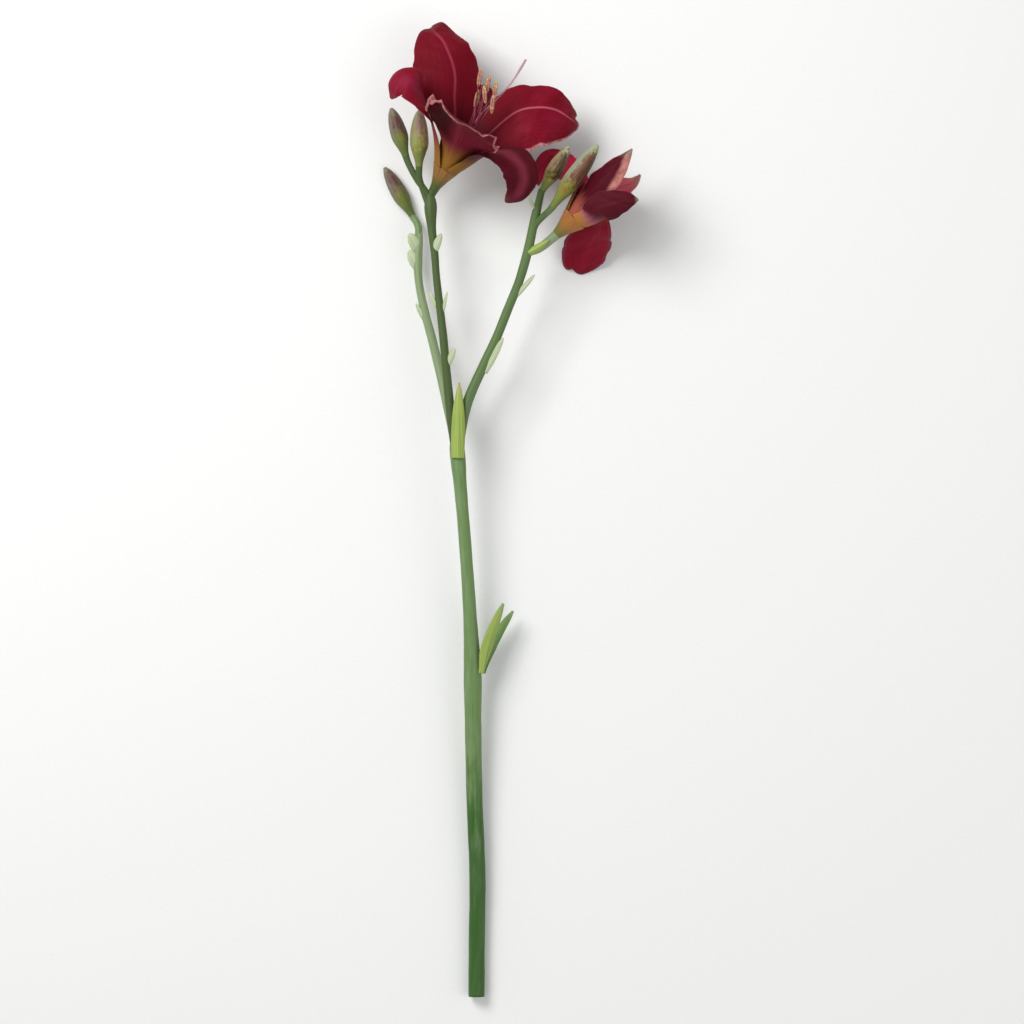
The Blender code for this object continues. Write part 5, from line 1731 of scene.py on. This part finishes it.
def the_side_bloom() -> Bloom:
    """The half closed bloom on the right branch."""
    tepals = [
        Tepal("petal_upper", Habit.CLOSING_PETAL, azimuth=-22.0, claw=56.0, half_width=9.8, cup=0.7,
              ruffle=0.8, waves=2.6, phase=0.2,
              rib=[(60.4, 427.4, 45.0), (66.6, 434.6, 48.0), (74.4, 442.8, 49.0), (82.4, 451.4, 47.0)],
              faces=[(0.3, -0.3, -0.9)] * 4, crimp=0.3, rims=(9.0, 1.6)),
        Tepal("petal_low", Habit.ROUND_PETAL, azimuth=92.0, claw=38.0, half_width=12.6, cup=0.3, ruffle=0.9,
              waves=2.4, phase=0.3,
              rib=[(65.2, 410.6, 29.6), (61.8, 406.2, 21.6), (58.8, 400.2, 13.4), (56.6, 393.8, 6.6),
                   (55.6, 387.8, 0.26)],
              faces=[(0.34, 0.85, -0.34), (0.1, 0.75, -0.6), (0.0, 0.6, -0.72), (0.0, 0.55, -0.78),
                     (0.0, 0.5, -0.82)], crimp=0.2, rims=(3.5, 3.5),
              lobes=((-9.0, 3.4, 2.2), (-4.6, 1.7, -1.8))),
        Tepal("petal_back", Habit.CLOSING_PETAL, azimuth=220.0, claw=56.0, half_width=7.8, cup=0.4,
              ruffle=0.6, waves=2.6, phase=0.5,
              rib=[(62.6, 430.0, 26.0), (70.4, 432.4, 24.0), (78.4, 433.2, 23.0), (83.4, 435.2, 23.4),
                   (87.4, 439.4, 24.0)], faces=[(-0.1, -0.1, 1.0)] * 4 + [(0.0, -0.1, 1.0)], crimp=0.3),
        Tepal("sepal_front", Habit.SEPAL, azimuth=32.0, claw=50.0, half_width=8.6, cup=0.6, ruffle=0.5,
              waves=2.2, phase=0.0,
              rib=[(64.0, 419.0, 48.0), (72.0, 421.6, 52.0), (79.0, 423.4, 53.0), (85.6, 424.4, 52.0)],
              faces=[(0.1, 0.3, -0.9)] * 4, crimp=0.12),
        Tepal("sepal_right", Habit.SEPAL, azimuth=174.0, claw=36.0, half_width=7.0, cup=0.3, ruffle=0.5,
              waves=2.2, phase=0.4,
              rib=[(62.8, 427.0, 20.8), (69.4, 428.4, 15.2), (76.4, 429.6, 11.6), (83.0, 431.4, 11.6)],
              faces=[(-0.2, 0.4, 0.85), (-0.2, 0.3, 0.9), (-0.1, 0.2, 0.95), (0.0, 0.1, 1.0)], crimp=0.12),
        Tepal("sepal_left", Habit.SEPAL, azimuth=260.0, claw=52.0, half_width=8.4, cup=-0.3, ruffle=0.6,
              waves=2.2, phase=0.1,
              rib=[(52.4, 437.6, 25.0), (46.6, 444.4, 20.0), (39.0, 447.4, 17.0), (34.2, 441.4, 16.0),
                   (33.0, 434.0, 17.0)],
              faces=[(0.3, 0.4, 0.85), (0.0, 0.4, 0.9), (-0.3, 0.3, 0.9), (-0.5, 0.1, 0.85),
                     (-0.5, -0.1, 0.85)], crimp=0.12)]
    skins = {
        "petal_upper": TepalSkin("closing_petal_velvet", back="#50061A", back_vein="#3C0610",
                                 back_rib="#58101E", rim="#CC867C", claw="#A05444", tip="#84806C",
                                 tip_from=0.82),
        "petal_low": TepalSkin("low_petal_velvet", back="#880E28", back_vein="#7A0C22",
                               back_rib="#8C142C", rim="#76343E", claw="#7A3A26", tip="#6A2430"),
        "petal_back": TepalSkin("inner_petal_velvet", flesh="#C25662", glow="#C05C64", shade="#A03C4A",
                                eye_and_shade="#8C2C3C", rib=0.3, tip="#8A8270", tip_from=0.78, rim="#C89890"),
        # The front sepal's pink patch at the claw is a painted highlight.
        "sepal_front": TepalSkin("front_sepal_velvet", back="#561220", back_vein="#440C18",
                                 back_rib="#581824", rim="#8A2A3A", claw="#A87038", tip="#9A8C7E",
                                 bloom="#C0707A", painted_highlight_share=0.18, veins=7.0),
        # Left sepal: a brighter red, painted light where the buds shade it.
        "sepal_left": TepalSkin("left_sepal_skin", flesh="#C01C42", glow="#BC2848", shade="#961634",
                                eye_and_shade="#6A1024", rib=0.3, veins=7.0)}
    way = [(57.9, 420.4, 34.5), (63.8, 425.6, 35.9)]
    return Bloom("side_bloom", foot=(43.0, 407.5, 31.0), heading=49.0, tilt=10.0, tepals=tepals, way=way,
                 ends=None,
                 style=[*way, (69.7, 430.8, 37.3), (76.0, 436.4, 38.7)],
                 spur=[(25.4, 392.0, 30.6), (27.4, 397.0, 30.9), (33.0, 399.6, 31.0)],
                 # The side tube's pink streaks are painted highlights.
                 tube_skin=TubeSkin("side_tube_skin", foot="#6E6A2C", rim="#A0682E", streak="#984C48"),
                 petal_skin=TepalSkin("side_petal_velvet", back="#6E1428", claw="#8E5C2C", tip="#7C6A58"),
                 sepal_skin=TepalSkin("side_sepal_velvet", back="#701830", claw="#94602E", tip="#7E8064",
                                      veins=7.0),
                 tone=Tone.PALE, own_skins=skins)


# The view.


@dataclass
class Studio:
    """A pale board under soft light, and a camera that looks straight down with the stem upright.

    board_m is the board's side and drop_m how far it lies under the stem; view_m is how much of the
    board the frame shows from side to side, and aim the place the lamps are turned to, all in metres.
    lamps holds each lamp's place and side, in metres, and its power in watts.
    """

    board_m: float = 12.0
    drop_m: float = 0.0002
    lens_mm: float = 180.0
    sensor_mm: float = 36.0
    view_m: float = 0.55
    aim: Vec = (0.0, 0.1, 0.0)
    backdrop: str = "#F4F5F7"
    backdrop_strength: float = 0.5
    lamps: dict[str, tuple[Vec, float, float]] = field(default_factory=lambda: {
        "key_light": ((-0.75, 0.75, 1.15), 0.8, 19.0),
        "fill_light": ((0.9, -0.5, 1.1), 1.2, 5.0)})

    def board(self) -> Piece:
        """Lay the board just under the stem."""
        half = 0.5 * self.board_m
        mesh = bpy.data.meshes.new("board")
        corners = [(x * half, y * half, -self.drop_m) for x, y in ((-1, -1), (1, -1), (1, 1), (-1, 1))]
        mesh.from_pydata(corners, [], [(0, 1, 2, 3)])
        mesh.materials.append(PaleBoard().build())
        board = bpy.data.objects.new("board", mesh)
        bpy.context.scene.collection.objects.link(board)
        board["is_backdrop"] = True
        return board

    def lamp(self, name: str, place: Vec, size: float, watts: float) -> None:
        """Hang a square soft light and turn it to the middle of the blooms.

        Args:
            name: the light's name.
            place: where it hangs, in metres.
            size: its side, in metres.
            watts: its power.
        """
        data = bpy.data.lights.new(name, "AREA")
        data.shape = "SQUARE"
        data.size = size
        data.energy = watts
        lamp = bpy.data.objects.new(name, data)
        bpy.context.scene.collection.objects.link(lamp)
        aim = Vector(self.aim) - Vector(place)
        lamp.location = place
        lamp.rotation_euler = aim.to_track_quat("-Z", "Y").to_euler()

    def camera(self) -> None:
        """Hang the camera over the middle of the part at the height that frames view_m across."""
        data = bpy.data.cameras.new("camera")
        data.lens = self.lens_mm
        data.sensor_width = self.sensor_mm
        camera = bpy.data.objects.new("camera", data)
        camera.location = (0.0, 0.0, self.view_m * self.lens_mm / self.sensor_mm)
        bpy.context.scene.collection.objects.link(camera)
        bpy.context.scene.camera = camera

    def build(self) -> None:
        """Set up board, light, surroundings and camera."""
        self.board()
        for name, (place, size, watts) in self.lamps.items():
            self.lamp(name, place, size, watts)
        self.camera()
        world = bpy.data.worlds.new("pale_room")
        world.use_nodes = True
        backdrop = world.node_tree.nodes["Background"]
        backdrop.inputs["Color"].default_value = linear(self.backdrop)
        backdrop.inputs["Strength"].default_value = self.backdrop_strength
        bpy.context.scene.world = world
        bpy.context.scene.view_settings.view_transform = "Standard"


def main() -> None:
    """Build every piece in order."""
    logging.basicConfig(level=logging.INFO, format="%(message)s")
    buds = the_buds()
    blooms = [the_top_bloom(), the_side_bloom()]
    stalks = [maker.pedicel() for maker in (*buds, *blooms)]
    pieces = list(Scape().build(stalks))
    pieces += [bud.build() for bud in buds]
    for bloom in blooms:
        pieces += list(bloom.build())
    for piece in pieces:
        piece.data.calc_loop_triangles()
        LOG.info("%s: %d triangles", piece.name, len(piece.data.loop_triangles))
    LOG.info("%d pieces, %d triangles", len(pieces), sum(len(p.data.loop_triangles) for p in pieces))
    Studio().build()
    boxes = {"solids": [list(corner) for corner in SOLID_BOX],
             "looks": [list(corner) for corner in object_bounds()]}
    LOG.info("solids %s", boxes["solids"])
    LOG.info("looks %s", boxes["looks"])


if __name__ == "__main__":
    main()
